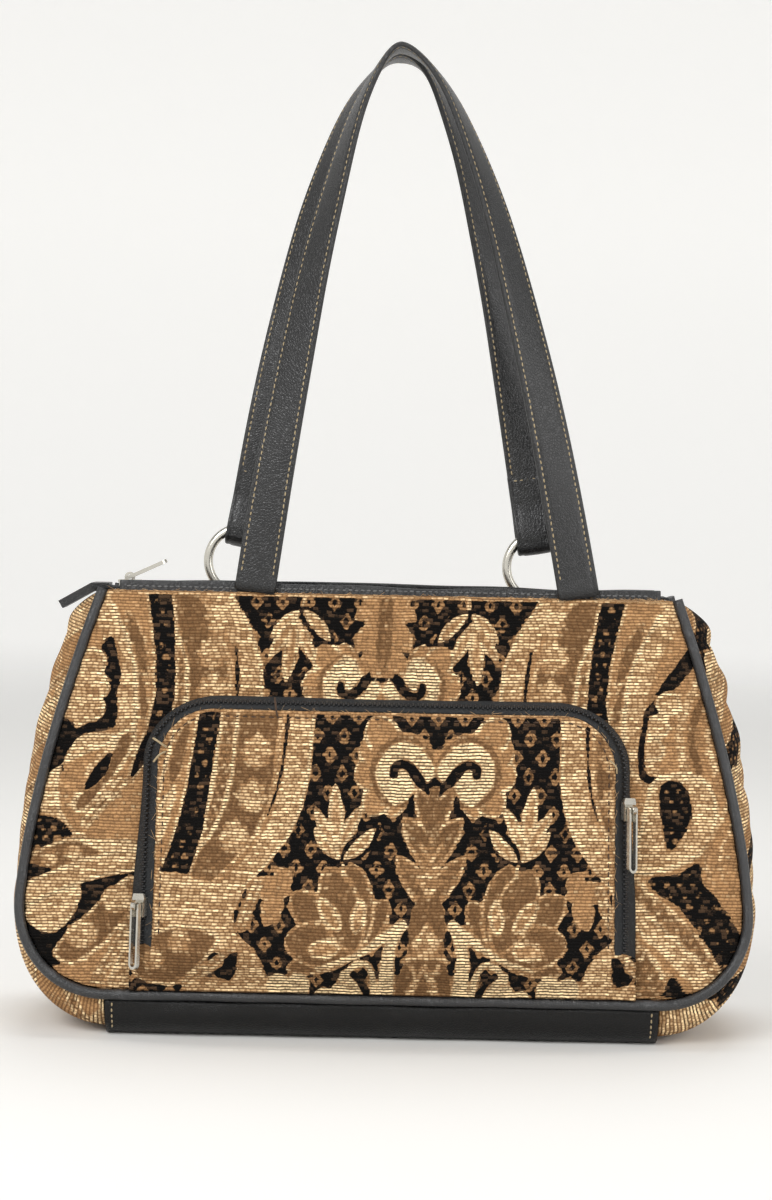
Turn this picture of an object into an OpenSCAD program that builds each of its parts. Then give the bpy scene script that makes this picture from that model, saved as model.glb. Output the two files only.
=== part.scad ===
// Tapestry shoulder bag with leather piping, base and straps, a zipped mouth and a zipped front pocket.
// Millimetres, +Z up, front faces -Y, origin on the table under the middle of the base.

/* [Body] */
// Width of the front face at its widest, between piping centres
body_w = 348; // [310:1:390]
// Width of the front face at its top edge, between piping centres
top_w = 280; // [250:1:300]
// Height of the top edge of the front and back faces
body_h = 212; // [195:1:240]
// Depth between the front and back piping along the bottom
base_depth = 96; // [84:1:110]
// Depth between the front and back faces at the top edge
mouth_depth = 30; // [28:1:36]
// Height of the bottom run of piping above the table
skirt_h = 21; // [18:1:26]
// Radius of the lower corners of the faces
corner_r = 42; // [34:1:50]
// How far the middle of each face swells out
face_swell = 9; // [4:0.5:11]
// Thickness of the tapestry with its backing
cloth_t = 2; // [1.4:0.1:2.6]
// Thickness of the leather of base, facings and tabs
leather_t = 1.6; // [1.2:0.1:2]
// Clearance along sewn seams
seam_gap = 0.3; // [0.2:0.05:0.4]

/* [Piping] */
// Diameter of the leather piping
piping_d = 5; // [4:0.2:6]

/* [Gussets] */
// How far the side gussets bulge past the piping near the top
gusset_bulge = 12; // [6:0.5:14]
// How far the side gussets bulge at the widest part of the faces
gusset_waist = 7; // [4:0.5:10]
// Height of the soft folds in the side gussets
gusset_fold = 3; // [0:0.5:4]

/* [Base] */
// Radius of the long lower edges of the leather base
base_edge_r = 14; // [8:1:16]
// Thickness of the stiffener board
board_t = 2.5; // [1.5:0.5:4]
// Thickness of the lining cloth
lining_t = 0.8; // [0.5:0.1:1.2]

/* [Facings] */
// Height of the leather facings
facing_h = 20; // [14:1:26]
// How far the facings stand above the top edge of the faces
facing_rise = 5; // [4:0.5:6]

/* [Zips] */
// Thickness of the zip tapes
tape_t = 1; // [0.8:0.1:1.2]
// Width of the zip coil
coil_w = 4.4; // [4:0.2:5]
// Height of the zip coil
coil_h = 1.6; // [1.4:0.1:1.8]
// Pitch of the coil ribs
coil_pitch = 4; // [3.5:0.5:6]
// Length of the sliders
slider_l = 11; // [9:0.5:13]
// Width of the sliders
slider_w = 8.4; // [8:0.2:9]
// Thickness of the metal of sliders and pulls
metal_t = 1.2; // [1:0.1:1.4]
// Running clearance round the coil and the pull bars
slide_gap = 0.4; // [0.3:0.05:0.5]
// Length of the pull of the main zip
main_pull_l = 20; // [16:1:26]
// Length of the pulls of the pocket zip
pocket_pull_l = 30; // [24:1:32]
// Length of the leather tab at the end of the main zip
tab_l = 26; // [20:1:30]
// Width of the leather tab at the end of the main zip
tab_w = 14; // [12:1:16]

/* [Pocket] */
// Width of the front pocket
pocket_w = 218; // [200:1:230]
// Height of the top edge of the pocket
pocket_top = 159; // [150:1:164]
// Radius of the upper corners of the pocket
pocket_r = 26; // [20:1:32]
// How far the pocket stands out from the front face
pocket_d = 11; // [10:0.5:13]
// Width of the zip tape down the sides of the pocket
pocket_tape_w = 11; // [10:0.5:13]
// Width of the zip tape along the top of the pocket
pocket_tape_top = 7; // [6:0.5:11]

/* [Straps] */
// Width of the straps
strap_w = 20; // [16:1:24]
// Thickness of the straps
strap_t = 3; // [2.4:0.2:3.6]
// Height of the top of the straps
strap_top = 478; // [440:1:500]
// Distance between the feet of the front strap
strap_span = 158; // [140:1:170]
// How far the feet of the front strap stand to the right of the middle
strap_shift = 13; // [0:1:16]
// Distance between the straps where they lie side by side at the top
strap_gap = 2; // [1:0.5:4]

/* [Rings] */
// Outside diameter of the rings
ring_d = 38; // [34:1:42]
// Wire diameter of the rings
wire_d = 4.6; // [4:0.2:5]
// Distance between the ring centres
ring_span = 150; // [136:1:164]
// Width of the leather loops that hold the rings
ring_tab_w = 12; // [10:1:14]
// Height of the hinge line of the rings below the top edge
ring_drop = 2; // [0:0.5:4]
// Length of the sewn tail of the ring loops
ring_tail = 18; // [14:1:22]
// Length of the folded end of the rear strap
fold_l = 30; // [24:1:36]

/* [Hidden] */
$fn = 48;

// Colours of the cloth, leather, tape and metal
tapestry = [0.62, 0.46, 0.29];
black_leather = [0.10, 0.10, 0.10];
black_tape = [0.06, 0.06, 0.06];
nickel = [0.80, 0.79, 0.76];
lining_cloth = [0.25, 0.22, 0.20];

piping_r = piping_d / 2;
// Distance from the piping centre to the cloth that is sewn along it
piping_clear = piping_r + seam_gap;
half_run = body_w / 2 - corner_r;
corner_top = skirt_h + corner_r;
lean_slope = (base_depth - mouth_depth) / 2 / (body_h - skirt_h);
lean_angle = atan(lean_slope);
// Where the swell of a face ends at its sides, is full above the base, starts to fade and has faded
swell_share = 0.445;
swell_rise = 24;
swell_fade = 55;
swell_margin = 22;
swell_half = body_w * swell_share;
swell_low = skirt_h + swell_rise;
swell_end = body_h - swell_margin;
swell_high = swell_end - swell_fade;
// How sharply the sides of a face turn in towards the top
side_power = 1.5;

// A step from 0 at a to 1 at b with flat ends
function ease(a, b, v) = let (t = max(0, min(1, (v - a) / (b - a)))) t * t * (3 - 2 * t);
// A value that goes from a to b as t goes from 0 to 1
function mix(a, b, t) = a + (b - a) * t;

// Half depth of the bag at the piping, at height z
function lean(z) = mouth_depth / 2 + lean_slope * (body_h - z);
// Swell of a face at a place on it
function swell(x, z) = face_swell * pow(max(0, 1 - pow(x / swell_half, 2)), 2)
    * ease(skirt_h, swell_low, z) * (1 - ease(swell_high, swell_end, z));
// Outer surface of the front face
function face_y(x, z) = -lean(z) - swell(x, z);
// Half width of the face above its corner, at the piping centre
function side_x(z) = body_w / 2 - (body_w - top_w) / 2 * pow(max(0, z - corner_top) / (body_h - corner_top),
    side_power);
function side_slope(z) = -(body_w - top_w) / 2 * side_power
    * pow(max(0, z - corner_top) / (body_h - corner_top), side_power - 1) / (body_h - corner_top);

// Right edge of a face from the end of the bottom run to the top, moved in by inset, as [x, z]
corner_steps = 6;
side_steps = 12;
function face_edge(inset, top) = concat(
    [for (i = [0:corner_steps]) let (a = 90 * i / corner_steps, r = corner_r - inset)
        [half_run + r * sin(a), corner_top - r * cos(a)]],
    [for (i = [1:side_steps]) let (z = mix(corner_top, top, i / side_steps)) [side_x(z) - inset, z]]);
// Outward normal of the edge at the same stations, as [x, z]
function edge_normals(top) = concat(
    [for (i = [0:corner_steps]) let (a = 90 * i / corner_steps) [sin(a), -cos(a)]],
    [for (i = [1:side_steps]) let (z = mix(corner_top, top, i / side_steps), s = side_slope(z))
        [1, -s] / norm([1, s])]);

function flatten(rows) = [for (row = rows) for (p = row) p];
function reverse(list) = [for (i = [len(list) - 1:-1:0]) list[i]];

// A closed tube through rings of points that turn anticlockwise about the way the tube runs
module loft(rings) {
    m = len(rings[0]);
    n = len(rings);
    sides = [for (i = [0:n - 2]) for (j = [0:m - 1])
        let (a = i * m + j, b = i * m + (j + 1) % m, c = b + m, d = a + m) each [[a, d, c], [a, c, b]]];
    first = [for (j = [0:m - 1]) j];
    last = [for (j = [m - 1:-1:0]) (n - 1) * m + j];
    polyhedron(flatten(rings), concat(sides, [first, last]));
}

// A sheet between two grids whose rows run up and whose columns run right, seen from outside
module sheet(outer, inner) {
    rows = len(outer);
    cols = len(outer[0]);
    back = rows * cols;
    skin = [for (i = [0:rows - 2]) for (j = [0:cols - 2])
        let (a = i * cols + j, b = a + 1, c = b + cols, d = a + cols)
        each [[a, d, c], [a, c, b], [back + a, back + c, back + d], [back + a, back + b, back + c]]];
    left = [for (i = [0:rows - 2]) let (a = i * cols, d = a + cols)
        each [[a, back + a, back + d], [a, back + d, d]]];
    right = [for (i = [0:rows - 2]) let (b = i * cols + cols - 1, c = b + cols)
        each [[b, c, back + c], [b, back + c, back + b]]];
    low = [for (j = [0:cols - 2]) let (a = j, b = j + 1) each [[a, b, back + b], [a, back + b, back + a]]];
    high = [for (j = [0:cols - 2]) let (d = (rows - 1) * cols + j, c = d + 1)
        each [[d, back + d, back + c], [d, back + c, c]]];
    polyhedron(flatten(concat(outer, inner)), concat(skin, left, right, low, high));
}

// Rows of a face between two heights, each row as points [x, z] from left to right
face_cols = 14;
function face_rows(inset, top) = [for (p = face_edge(inset, top))
    [for (j = [0:face_cols]) [p[0] * (2 * j / face_cols - 1), p[1]]]];

// Front and back faces of tapestry, cut to fit inside the piping
module face_cloth() {
    rows = face_rows(piping_clear, body_h);
    outer = [for (row = rows) [for (p = row) [p[0], face_y(p[0], p[1]), p[1]]]];
    inner = [for (row = outer) [for (p = row) p + [0, cloth_t, 0]]];
    color(tapestry) sheet(outer, inner);
}
module front_panel() { face_cloth(); }
module back_panel() { mirror([0, 1, 0]) face_cloth(); }

// Side gussets, a strip that bulges out between the two pipings
gusset_steps = 12;
gusset_square = 3.2;
gusset_round = 2;
gusset_top = body_h - leather_t - 2 * seam_gap;
gusset_crown_h = 20;
gusset_crown = body_h - gusset_crown_h;
gusset_widest = 0.6;
function gusset_out(z, i) = i <= corner_steps
    ? mix(skirt_h, gusset_waist, ease(0, corner_steps, i))
    : mix(gusset_waist, gusset_bulge, ease(corner_top, mix(corner_top, body_h, gusset_widest), z))
        * (1 - pow(max(0, z - gusset_crown) / (body_h - gusset_crown), 2));
function gusset_power(i) = 2 / mix(gusset_square, gusset_round, ease(0, corner_steps, i));
// Soft folds that cross the gusset at a slant and fade out towards its ends
fold_turns = 2;
fold_slant = 60;
fold_start = 0.3;
fold_fade = 0.65;
fold_stop = 0.85;
function gusset_folds(z, v) = let (s = (z - corner_top) / (gusset_top - corner_top))
    gusset_fold * ease(0, fold_start, s) * (1 - ease(fold_fade, fold_stop, s))
        * (1 + sin(360 * fold_turns * s + fold_slant * v)) / 2;
function gusset_row(p, n, i, t) = [for (k = [0:gusset_steps])
    let (a = -90 + 180 * k / gusset_steps, e = gusset_power(i), half = lean(p[1]) - piping_clear - t,
        v = sign(a) * pow(abs(sin(a)), e), arch = pow(cos(a), e),
        out = gusset_out(p[1], i) * arch + gusset_folds(p[1], v) * arch * arch - t)
    [p[0] + n[0] * out, half * v, p[1] + n[1] * out]];
module gusset() {
    edge = face_edge(0, gusset_top);
    normals = edge_normals(gusset_top);
    stations = [0:len(edge) - 1];
    color(tapestry) sheet([for (i = stations) gusset_row(edge[i], normals[i], i, 0)],
        [for (i = stations) gusset_row(edge[i], normals[i], i, cloth_t)]);
}
module right_gusset() { gusset(); }
module left_gusset() { mirror([1, 0, 0]) gusset(); }

// Leather base, a trough with round long edges that ends just below the piping
module trough(half, height, r) {
    intersection() {
        translate([-half, 0]) square([2 * half, height]);
        union() {
            translate([r - half, 0]) square([2 * (half - r), height]);
            translate([-half, r]) square([2 * half, height]);
            for (s = [-1, 1]) translate([s * (half - r), r]) circle(r);
        }
    }
}
base_half = base_depth / 2;
module base_panel() {
    color(black_leather) rotate([90, 0, 90]) linear_extrude(2 * (half_run - seam_gap), center = true)
        difference() {
            trough(base_half, skirt_h - piping_clear, base_edge_r);
            translate([0, leather_t]) trough(base_half - leather_t, skirt_h, base_edge_r - leather_t);
        }
}
board_half = base_half - base_edge_r;
board_margin = 4;
module base_board() {
    color(lining_cloth) translate([board_margin - half_run, -board_half, leather_t])
        cube([2 * (half_run - board_margin), 2 * board_half, board_t]);
}

// Lining, a pouch of thin cloth from the facings down to the board
lining_inset = cloth_t + leather_t + 3 * seam_gap;
lining_floor = leather_t + board_t;
lining_drop = 4;
lining_top = body_h - lining_drop;
lining_levels = 7;
lining_points = 28;
lining_power = 0.5;
function lining_ring(hx, hy, z) = [for (k = [0:lining_points - 1]) let (a = 360 * k / lining_points)
    [hx * sign(cos(a)) * pow(abs(cos(a)), lining_power),
     hy * sign(sin(a)) * pow(abs(sin(a)), lining_power), z]];
lining_low = corner_top - corner_r / 3;
function lining_rings(t) = concat(
    [lining_ring(half_run - board_margin - t, board_half - t, lining_floor + t)],
    [for (i = [0:lining_levels]) let (z = mix(lining_low, lining_top, i / lining_levels))
        lining_ring(side_x(z) - lining_inset * 2 - t, lean(z) - lining_inset - t, z)]);
module lining() {
    color(lining_cloth) loft(concat(reverse(lining_rings(0)), lining_rings(lining_t)));
}

// Piping, a round cord along the edge of a face
piping_sides = 8;
run_steps = 6;
piping_edge = face_edge(0, body_h);
piping_path = concat(reverse([for (p = piping_edge) [-p[0], p[1]]]),
    [for (i = [1:run_steps - 1]) [mix(-half_run, half_run, i / run_steps), skirt_h]], piping_edge);
face_normal = [0, -cos(lean_angle), sin(lean_angle)];
function along(path, i) =
    let (a = path[max(0, i - 1)], b = path[min(len(path) - 1, i + 1)]) (b - a) / norm(b - a);
module piping() {
    path = [for (p = piping_path) [p[0], -lean(p[1]), p[1]]];
    color(black_leather) loft([for (i = [0:len(path) - 1])
        let (side = cross(face_normal, along(path, i)))
        [for (k = [0:piping_sides - 1]) let (a = 360 * k / piping_sides)
            path[i] + piping_r * (cos(a) * face_normal + sin(a) * side / norm(side))]]);
}
module front_piping() { piping(); }
module back_piping() { mirror([0, 1, 0]) piping(); }

// Leather facings inside the top edge
facing_margin = 8;
facing_half = top_w / 2 - facing_margin;
facing_top = body_h + facing_rise;
function facing_y(z) = -lean(z) + cloth_t + seam_gap;
module facing() {
    low = facing_top - facing_h;
    color(black_leather) rotate([90, 0, 90]) linear_extrude(2 * facing_half, center = true)
        polygon([[facing_y(low), low], [facing_y(low) + leather_t, low],
            [facing_y(facing_top) + leather_t, facing_top], [facing_y(facing_top), facing_top]]);
}
module front_facing() { facing(); }
module back_facing() { mirror([0, 1, 0]) facing(); }

// Main zip, two tapes that meet under a ribbed coil
mouth_z = body_h + seam_gap;
mouth_tape_top = mouth_z + tape_t;
mouth_tape_edge = -facing_y(mouth_z) - leather_t - seam_gap;
// How far the tapes run past the left end of the mouth, and the margin at the other ends of tapes and coil
mouth_over = 6;
mouth_margin = 4;
mouth_left = -top_w / 2 - mouth_over;
mouth_right = top_w / 2 - mouth_margin;
coil_left = -top_w / 2 + mouth_margin;
coil_right = mouth_right - mouth_margin;
module mouth_tape() {
    color(black_tape) translate([mouth_left, seam_gap / 2, mouth_z])
        cube([mouth_right - mouth_left, mouth_tape_edge - seam_gap / 2, tape_t]);
}
module main_zip_back_tape() { mouth_tape(); }
module main_zip_front_tape() { mirror([0, 1, 0]) mouth_tape(); }

// Section of the coil across the zip, narrow between its ribs
coil_neck = 0.72;
coil_lift = 0.15;
coil_taper = 0.7;
function coil_section(k) = let (w = coil_w / 2 * k, h = coil_h * k)
    [[-w, coil_lift], [w, coil_lift], [w * coil_taper, h], [-w * coil_taper, h]];
module main_zip_coil() {
    ribs = floor((coil_right - coil_left) / coil_pitch) * 2;
    color(black_tape) loft([for (i = [0:ribs])
        [for (p = coil_section(i % 2 == 0 ? coil_neck : 1))
            [coil_left + i * coil_pitch / 2, p[0], mouth_tape_top + p[1]]]]);
}

// Slider in its own frame: X along the zip, Z out of the tape, with a crown that holds the pull
plate_z = coil_h + slide_gap;
bar_r = metal_t * 0.75;
eye_r = bar_r + slide_gap;
crown_r = eye_r + metal_t;
crown_w = 2.2;
pin_z = plate_z + metal_t + eye_r;
waist_at = slider_l * 0.1;
shoulder_at = slider_l * 0.3;
rail_from = -slider_l * 0.45;
rail_l = slider_l * 0.8;
module slider() {
    nose = slider_w / 2;
    tail = nose * 0.82;
    tip = nose * 0.8;
    color(nickel) {
        translate([0, 0, plate_z]) linear_extrude(metal_t)
            polygon([[-slider_l / 2, -tail], [waist_at, -tail], [shoulder_at, -nose], [slider_l / 2, -tip],
                [slider_l / 2, tip], [shoulder_at, nose], [waist_at, tail], [-slider_l / 2, tail]]);
        for (s = [-1, 1]) translate([rail_from, s * (tail - metal_t / 2) - metal_t / 2, seam_gap])
            cube([rail_l, metal_t, plate_z + metal_t / 2 - seam_gap]);
        translate([0, crown_w / 2, 0]) rotate([90, 0, 0]) linear_extrude(crown_w) difference() {
            union() {
                translate([0, pin_z]) circle(crown_r);
                translate([-crown_r, plate_z + metal_t / 2])
                    square([2 * crown_r, pin_z - plate_z - metal_t / 2]);
            }
            translate([0, pin_z]) circle(eye_r);
        }
    }
}

// Pull in the slider's frame, an open link that runs from its bar along X, raised by tilt
link_gap = 0.5;
link_in = crown_w / 2 + link_gap;
link_out = link_in + metal_t;
module pull(length, tilt) {
    color(nickel) translate([0, 0, pin_z]) rotate([0, -tilt, 0]) {
        rotate([90, 0, 0]) cylinder(r = bar_r, h = 2 * link_out, center = true);
        for (s = [-1, 1]) translate([0, s * (link_in + metal_t / 2) - metal_t / 2, -bar_r])
            cube([length - link_out, metal_t, 2 * bar_r]);
        translate([length - link_out, 0, -bar_r]) linear_extrude(2 * bar_r) difference() {
            circle(link_out);
            circle(link_in);
            translate([-link_out * 2, -link_out]) square([link_out * 2, link_out * 2]);
        }
    }
}
main_slider_x = coil_left + slider_l / 2 + 2;
main_pull_tilt = 25;
module main_zip_slider() { translate([main_slider_x, 0, mouth_tape_top]) slider(); }
module main_zip_pull() { translate([main_slider_x, 0, mouth_tape_top]) pull(main_pull_l, main_pull_tilt); }

// Leather tab folded over the left end of the main zip, drooping past the gusset
tab_droop = 30;
tab_lap = 8;
module zip_end_tab() {
    half = tape_t / 2 + leather_t;
    middle = mouth_z + tape_t / 2;
    color(black_leather) translate([mouth_left, tab_w / 2, middle]) rotate([90, 0, 0]) linear_extrude(tab_w)
        difference() {
            union() {
                translate([-seam_gap, -half]) square([tab_lap + seam_gap, 2 * half]);
                rotate(tab_droop) translate([tab_lap - tab_l, -half]) square([tab_l - tab_lap, 2 * half]);
                circle(half);
            }
            translate([-seam_gap, -tape_t / 2 - coil_lift]) square([tab_lap * 2, tape_t + 2 * coil_lift]);
        }
}

// Front pocket, a raised panel sewn into the bottom piping
pocket_half = pocket_w / 2;
pocket_low = skirt_h + piping_clear;
pocket_fill_h = 25;
pocket_full = skirt_h + pocket_fill_h;
pocket_steps = 5;
pocket_rows = 6;
function pocket_rise(z) =
    (pocket_d - cloth_t - seam_gap) * ease(skirt_h, pocket_full, z) + cloth_t + seam_gap;
function pocket_y(x, z) = face_y(x, z) - pocket_rise(z);
// Right edge of the pocket from the bottom up to its top, moved out by side and by over at the top
function pocket_edge(side, over) = concat(
    [for (i = [0:pocket_rows]) [pocket_half + side, mix(pocket_low, pocket_full, i / pocket_rows)]],
    [for (i = [0:pocket_steps]) let (a = 90 * i / pocket_steps)
        [pocket_half - pocket_r + (pocket_r + side) * cos(a),
         pocket_top - pocket_r + (pocket_r + over) * sin(a)]]);
pocket_cols = 14;
module front_pocket() {
    rows = [for (p = pocket_edge(0, 0))
        [for (j = [0:pocket_cols]) [p[0] * (2 * j / pocket_cols - 1), p[1]]]];
    outer = [for (row = rows) [for (p = row) [p[0], pocket_y(p[0], p[1]), p[1]]]];
    inner = [for (row = outer) [for (p = row) p + [0, cloth_t, 0]]];
    color(tapestry) sheet(outer, inner);
}

// Pocket zip, a tape that slopes from the pocket's edge down to the front face, with the coil along it
tape_in = seam_gap;
tape_out = pocket_tape_w;
coil_at = 0.45;
top_steps = 6;
function round_edge(side, over) = let (right = pocket_edge(side, over), top = right[len(right) - 1])
    concat([for (p = right) [-p[0], p[1]]],
        [for (i = [1:top_steps - 1]) [mix(-top[0], top[0], i / top_steps), top[1]]], reverse(right));
tape_inner = [for (p = round_edge(tape_in, tape_in)) [p[0], pocket_y(p[0], p[1]) + cloth_t / 2, p[1]]];
tape_outer = [for (p = round_edge(tape_out, pocket_tape_top))
    [p[0], face_y(p[0], p[1]) - tape_t - seam_gap, p[1]]];
module pocket_zip_tape() {
    outer = [for (t = [0, 0.5, 1])
        [for (i = [0:len(tape_inner) - 1]) mix(tape_inner[i], tape_outer[i], t)]];
    inner = [for (row = outer) [for (p = row) p + [0, tape_t, 0]]];
    color(black_tape) sheet(outer, inner);
}

// Line of the coil on the pocket tape, cut into equal steps
function tape_mid(i) = mix(tape_inner[i], tape_outer[i], coil_at);
coil_line = [for (i = [pocket_rows:len(tape_inner) - 1 - pocket_rows]) tape_mid(i)];
coil_across = [for (i = [pocket_rows:len(tape_inner) - 1 - pocket_rows]) tape_outer[i] - tape_inner[i]];
coil_run = [for (i = 0, s = 0; i < len(coil_line); s = s + norm(coil_line[min(i + 1, len(coil_line) - 1)]
    - coil_line[i]), i = i + 1) s];
function on_line(list, s) =
    [for (axis = [0:2]) lookup(s, [for (i = [0:len(list) - 1]) [coil_run[i], list[i][axis]]])];
function unit(v) = v / norm(v);
module pocket_zip_coil() {
    last = coil_run[len(coil_run) - 1];
    first = 2;
    ribs = floor((last - 2 * first) / coil_pitch) * 2;
    color(black_tape) loft([for (i = [0:ribs])
        let (s = first + i * coil_pitch / 2, at = on_line(coil_line, s),
            run = on_line(coil_line, s + 1) - on_line(coil_line, s - 1),
            out = unit(cross(run, on_line(coil_across, s))), across = unit(cross(out, run)))
        [for (p = coil_section(i % 2 == 0 ? coil_neck : 1)) at + p[0] * across + p[1] * out]]);
}

// Place on the straight side of the pocket zip, with X up the zip and Z out of its tape
side_in = pocket_half + tape_in;
side_out = pocket_half + tape_out;
coil_x = mix(side_in, side_out, coil_at);
function side_in_y(z) = pocket_y(side_in, z) + cloth_t / 2;
function side_out_y(z) = face_y(side_out, z) - tape_t - seam_gap;
function coil_y(z) = mix(side_in_y(z), side_out_y(z), coil_at);
module on_side(side, z) {
    ramp = atan((side_out_y(z) - side_in_y(z)) / (side_out - side_in) * cos(lean_angle));
    translate([side * coil_x, coil_y(z), z]) rotate([-lean_angle, 0, 0]) rotate([0, 0, 90 + side * ramp])
        rotate([0, -90, 0]) children();
}
left_slider_up = 43;
right_slider_up = 92;
left_slider_z = skirt_h + left_slider_up;
right_slider_z = skirt_h + right_slider_up;
module pocket_slider_left() { on_side(-1, left_slider_z) slider(); }
module pocket_slider_right() { on_side(1, right_slider_z) slider(); }
module pocket_pull_left() { on_side(-1, left_slider_z) rotate([0, 0, 180]) pull(pocket_pull_l, 0); }
module pocket_pull_right() { on_side(1, right_slider_z) rotate([0, 0, 180]) pull(pocket_pull_l, 0); }

// A strap through places [point, direction of its width] listed from the top to one end, and mirrored,
// with both ends then moved to the right by shift
function flip_x(v) = [-v[0], v[1], v[2]];
function both_ways(half) = concat(
    reverse([for (i = [1:len(half) - 1]) [flip_x(half[i][0]), flip_x(half[i][1])]]), half);
module ribbon(half, shift) {
    places = both_ways(half);
    last = len(half) - 1;
    path = [for (i = [0:2 * last]) places[i][0] + [shift * abs(i - last) / last, 0, 0]];
    color(black_leather) loft([for (i = [0:len(path) - 1])
        let (w = places[i][1] * strap_w / 2, n = unit(cross(along(path, i), w)) * strap_t / 2)
        [path[i] - w - n, path[i] + w - n, path[i] + w + n, path[i] - w + n]]);
}

// One side of a strap from its top down to its foot: the width turns from Y at the top to X at the foot
strap_steps = 18;
strap_turn = 1.3;
strap_power = 1.82;
strap_square = 0.8;
strap_mid_top = strap_top - strap_t / 2;
function strap_side(foot, top_y, power, level) = [for (i = [0:strap_steps])
    let (t = i / strap_steps,
        h = (strap_mid_top - foot[2]) * pow(t, power),
        turn = 90 * (1 - pow(t, strap_turn)),
        slope = power * (strap_mid_top - foot[2]) * pow(t, power - 1),
        square_on = unit([slope, 0, foot[0]]),
        in_plane = unit(mix(square_on, [1, 0, 0], level * ease(strap_square, 1, t))))
    [[foot[0] * t, mix(top_y, foot[1], ease(0, 1, t)), strap_mid_top - h],
        unit(cos(turn) * in_plane + sin(turn) * [0, 1, 0])]];

// Front strap, sewn in behind the top edge of the front face
strap_top_y = (strap_w + strap_gap) / 2;
front_foot = [strap_span / 2, facing_y(body_h) - seam_gap - strap_t / 2, body_h + seam_gap];
module front_strap() { ribbon(strap_side(front_foot, -strap_top_y, strap_power, 1), strap_shift); }

// Rings, held by leather loops sewn under the top edge of the back face
ring_r = (ring_d - wire_d) / 2;
wire_r = wire_d / 2;
function ring_sag(width) = ring_r - sqrt(ring_r * ring_r - width * width / 4);
tab_bore_r = wire_r + ring_sag(ring_tab_w) / 2 + slide_gap;
tab_loop_r = tab_bore_r + leather_t;
hinge_z = body_h - ring_drop;
hinge_y = lean(hinge_z) + (tab_loop_r + seam_gap) / cos(lean_angle);
ring_z = hinge_z - ring_sag(ring_tab_w) / 2 + ring_r;
module ring_at(side) {
    color(nickel) translate([side * ring_span / 2, hinge_y, ring_z]) rotate([90, 0, 0])
        rotate_extrude() translate([ring_r, 0]) circle(wire_r);
}
module ring_left() { ring_at(-1); }
module ring_right() { ring_at(1); }
module ring_tab(side) {
    color(black_leather) translate([side * ring_span / 2, hinge_y, hinge_z]) rotate([90, 0, 90])
        linear_extrude(ring_tab_w, center = true) rotate(lean_angle) difference() {
            union() {
                circle(tab_loop_r);
                translate([-tab_loop_r, -ring_tail]) square([2 * leather_t, ring_tail]);
            }
            circle(tab_bore_r);
        }
}
module ring_tab_left() { ring_tab(-1); }
module ring_tab_right() { ring_tab(1); }

// Rear strap, folded round the rings with its end sewn to itself
pull_lean = atan(ring_span / 2 / (strap_power * (strap_mid_top - ring_z)));
fold_up = [-sin(pull_lean), 0, cos(pull_lean)];
fold_wide = [cos(pull_lean), 0, sin(pull_lean)];
fold_gap = 1.2;
fold_in_r = wire_r + fold_gap;
fold_mid_r = fold_in_r + strap_t / 2;
fold_low = -ring_sag(strap_w);
fold_neck = strap_t / 2 + seam_gap / 2;
fold_join = 14;
fold_steps = 8;
fold_path = concat([[-fold_neck, fold_l], [-fold_neck, fold_join], [-fold_mid_r, wire_r]],
    [for (i = [0:fold_steps]) let (a = 180 * i / fold_steps)
        [-fold_mid_r * cos(a), fold_low - fold_mid_r * sin(a)]],
    [[fold_mid_r, wire_r], [fold_neck, fold_join], [fold_neck, fold_l]]);
ring_top = [ring_span / 2, hinge_y, ring_z] + ring_r * fold_up;
rear_foot = ring_top + fold_l * fold_up - [0, fold_neck, 0];
rear_power = rear_foot[0] / ((strap_mid_top - rear_foot[2]) * tan(pull_lean));
module rear_strap() {
    fold = [for (p = [for (i = [1:len(fold_path) - 1]) fold_path[i]])
        [ring_top + p[0] * [0, 1, 0] + p[1] * fold_up, fold_wide]];
    ribbon(concat(strap_side(rear_foot, strap_top_y, rear_power, 0), fold), 0);
}

front_panel();
back_panel();
left_gusset();
right_gusset();
base_panel();
base_board();
lining();
front_piping();
back_piping();
front_facing();
back_facing();
main_zip_front_tape();
main_zip_back_tape();
main_zip_coil();
main_zip_slider();
main_zip_pull();
zip_end_tab();
front_pocket();
pocket_zip_tape();
pocket_zip_coil();
pocket_slider_left();
pocket_slider_right();
pocket_pull_left();
pocket_pull_right();
front_strap();
rear_strap();
ring_left();
ring_right();
ring_tab_left();
ring_tab_right();
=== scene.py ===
# %% [markdown]
# A tapestry shoulder bag. The packed solids come in first as a fixed frame, so every cloth, leather and
# thread piece below can be placed straight from their sizes. Lengths in this script are millimetres, and
# one helper turns them into Blender's metres when a mesh is made.

# %% Load the frame
import math

import bmesh
import bpy
import numpy as np
from mathutils import Matrix, Vector


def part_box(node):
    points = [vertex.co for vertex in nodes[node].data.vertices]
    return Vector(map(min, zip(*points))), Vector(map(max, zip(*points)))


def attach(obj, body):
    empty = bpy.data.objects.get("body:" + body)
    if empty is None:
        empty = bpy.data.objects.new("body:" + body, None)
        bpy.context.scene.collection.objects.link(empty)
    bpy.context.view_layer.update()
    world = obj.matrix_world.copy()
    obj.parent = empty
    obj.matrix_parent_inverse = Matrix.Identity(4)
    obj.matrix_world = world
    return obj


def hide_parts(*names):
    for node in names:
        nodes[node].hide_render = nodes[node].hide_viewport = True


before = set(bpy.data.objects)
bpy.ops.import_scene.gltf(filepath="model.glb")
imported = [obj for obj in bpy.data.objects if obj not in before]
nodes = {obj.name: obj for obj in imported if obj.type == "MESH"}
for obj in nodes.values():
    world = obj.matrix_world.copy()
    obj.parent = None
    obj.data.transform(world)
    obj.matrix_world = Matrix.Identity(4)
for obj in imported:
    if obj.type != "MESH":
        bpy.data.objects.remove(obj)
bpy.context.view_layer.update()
MM = 0.001


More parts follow.
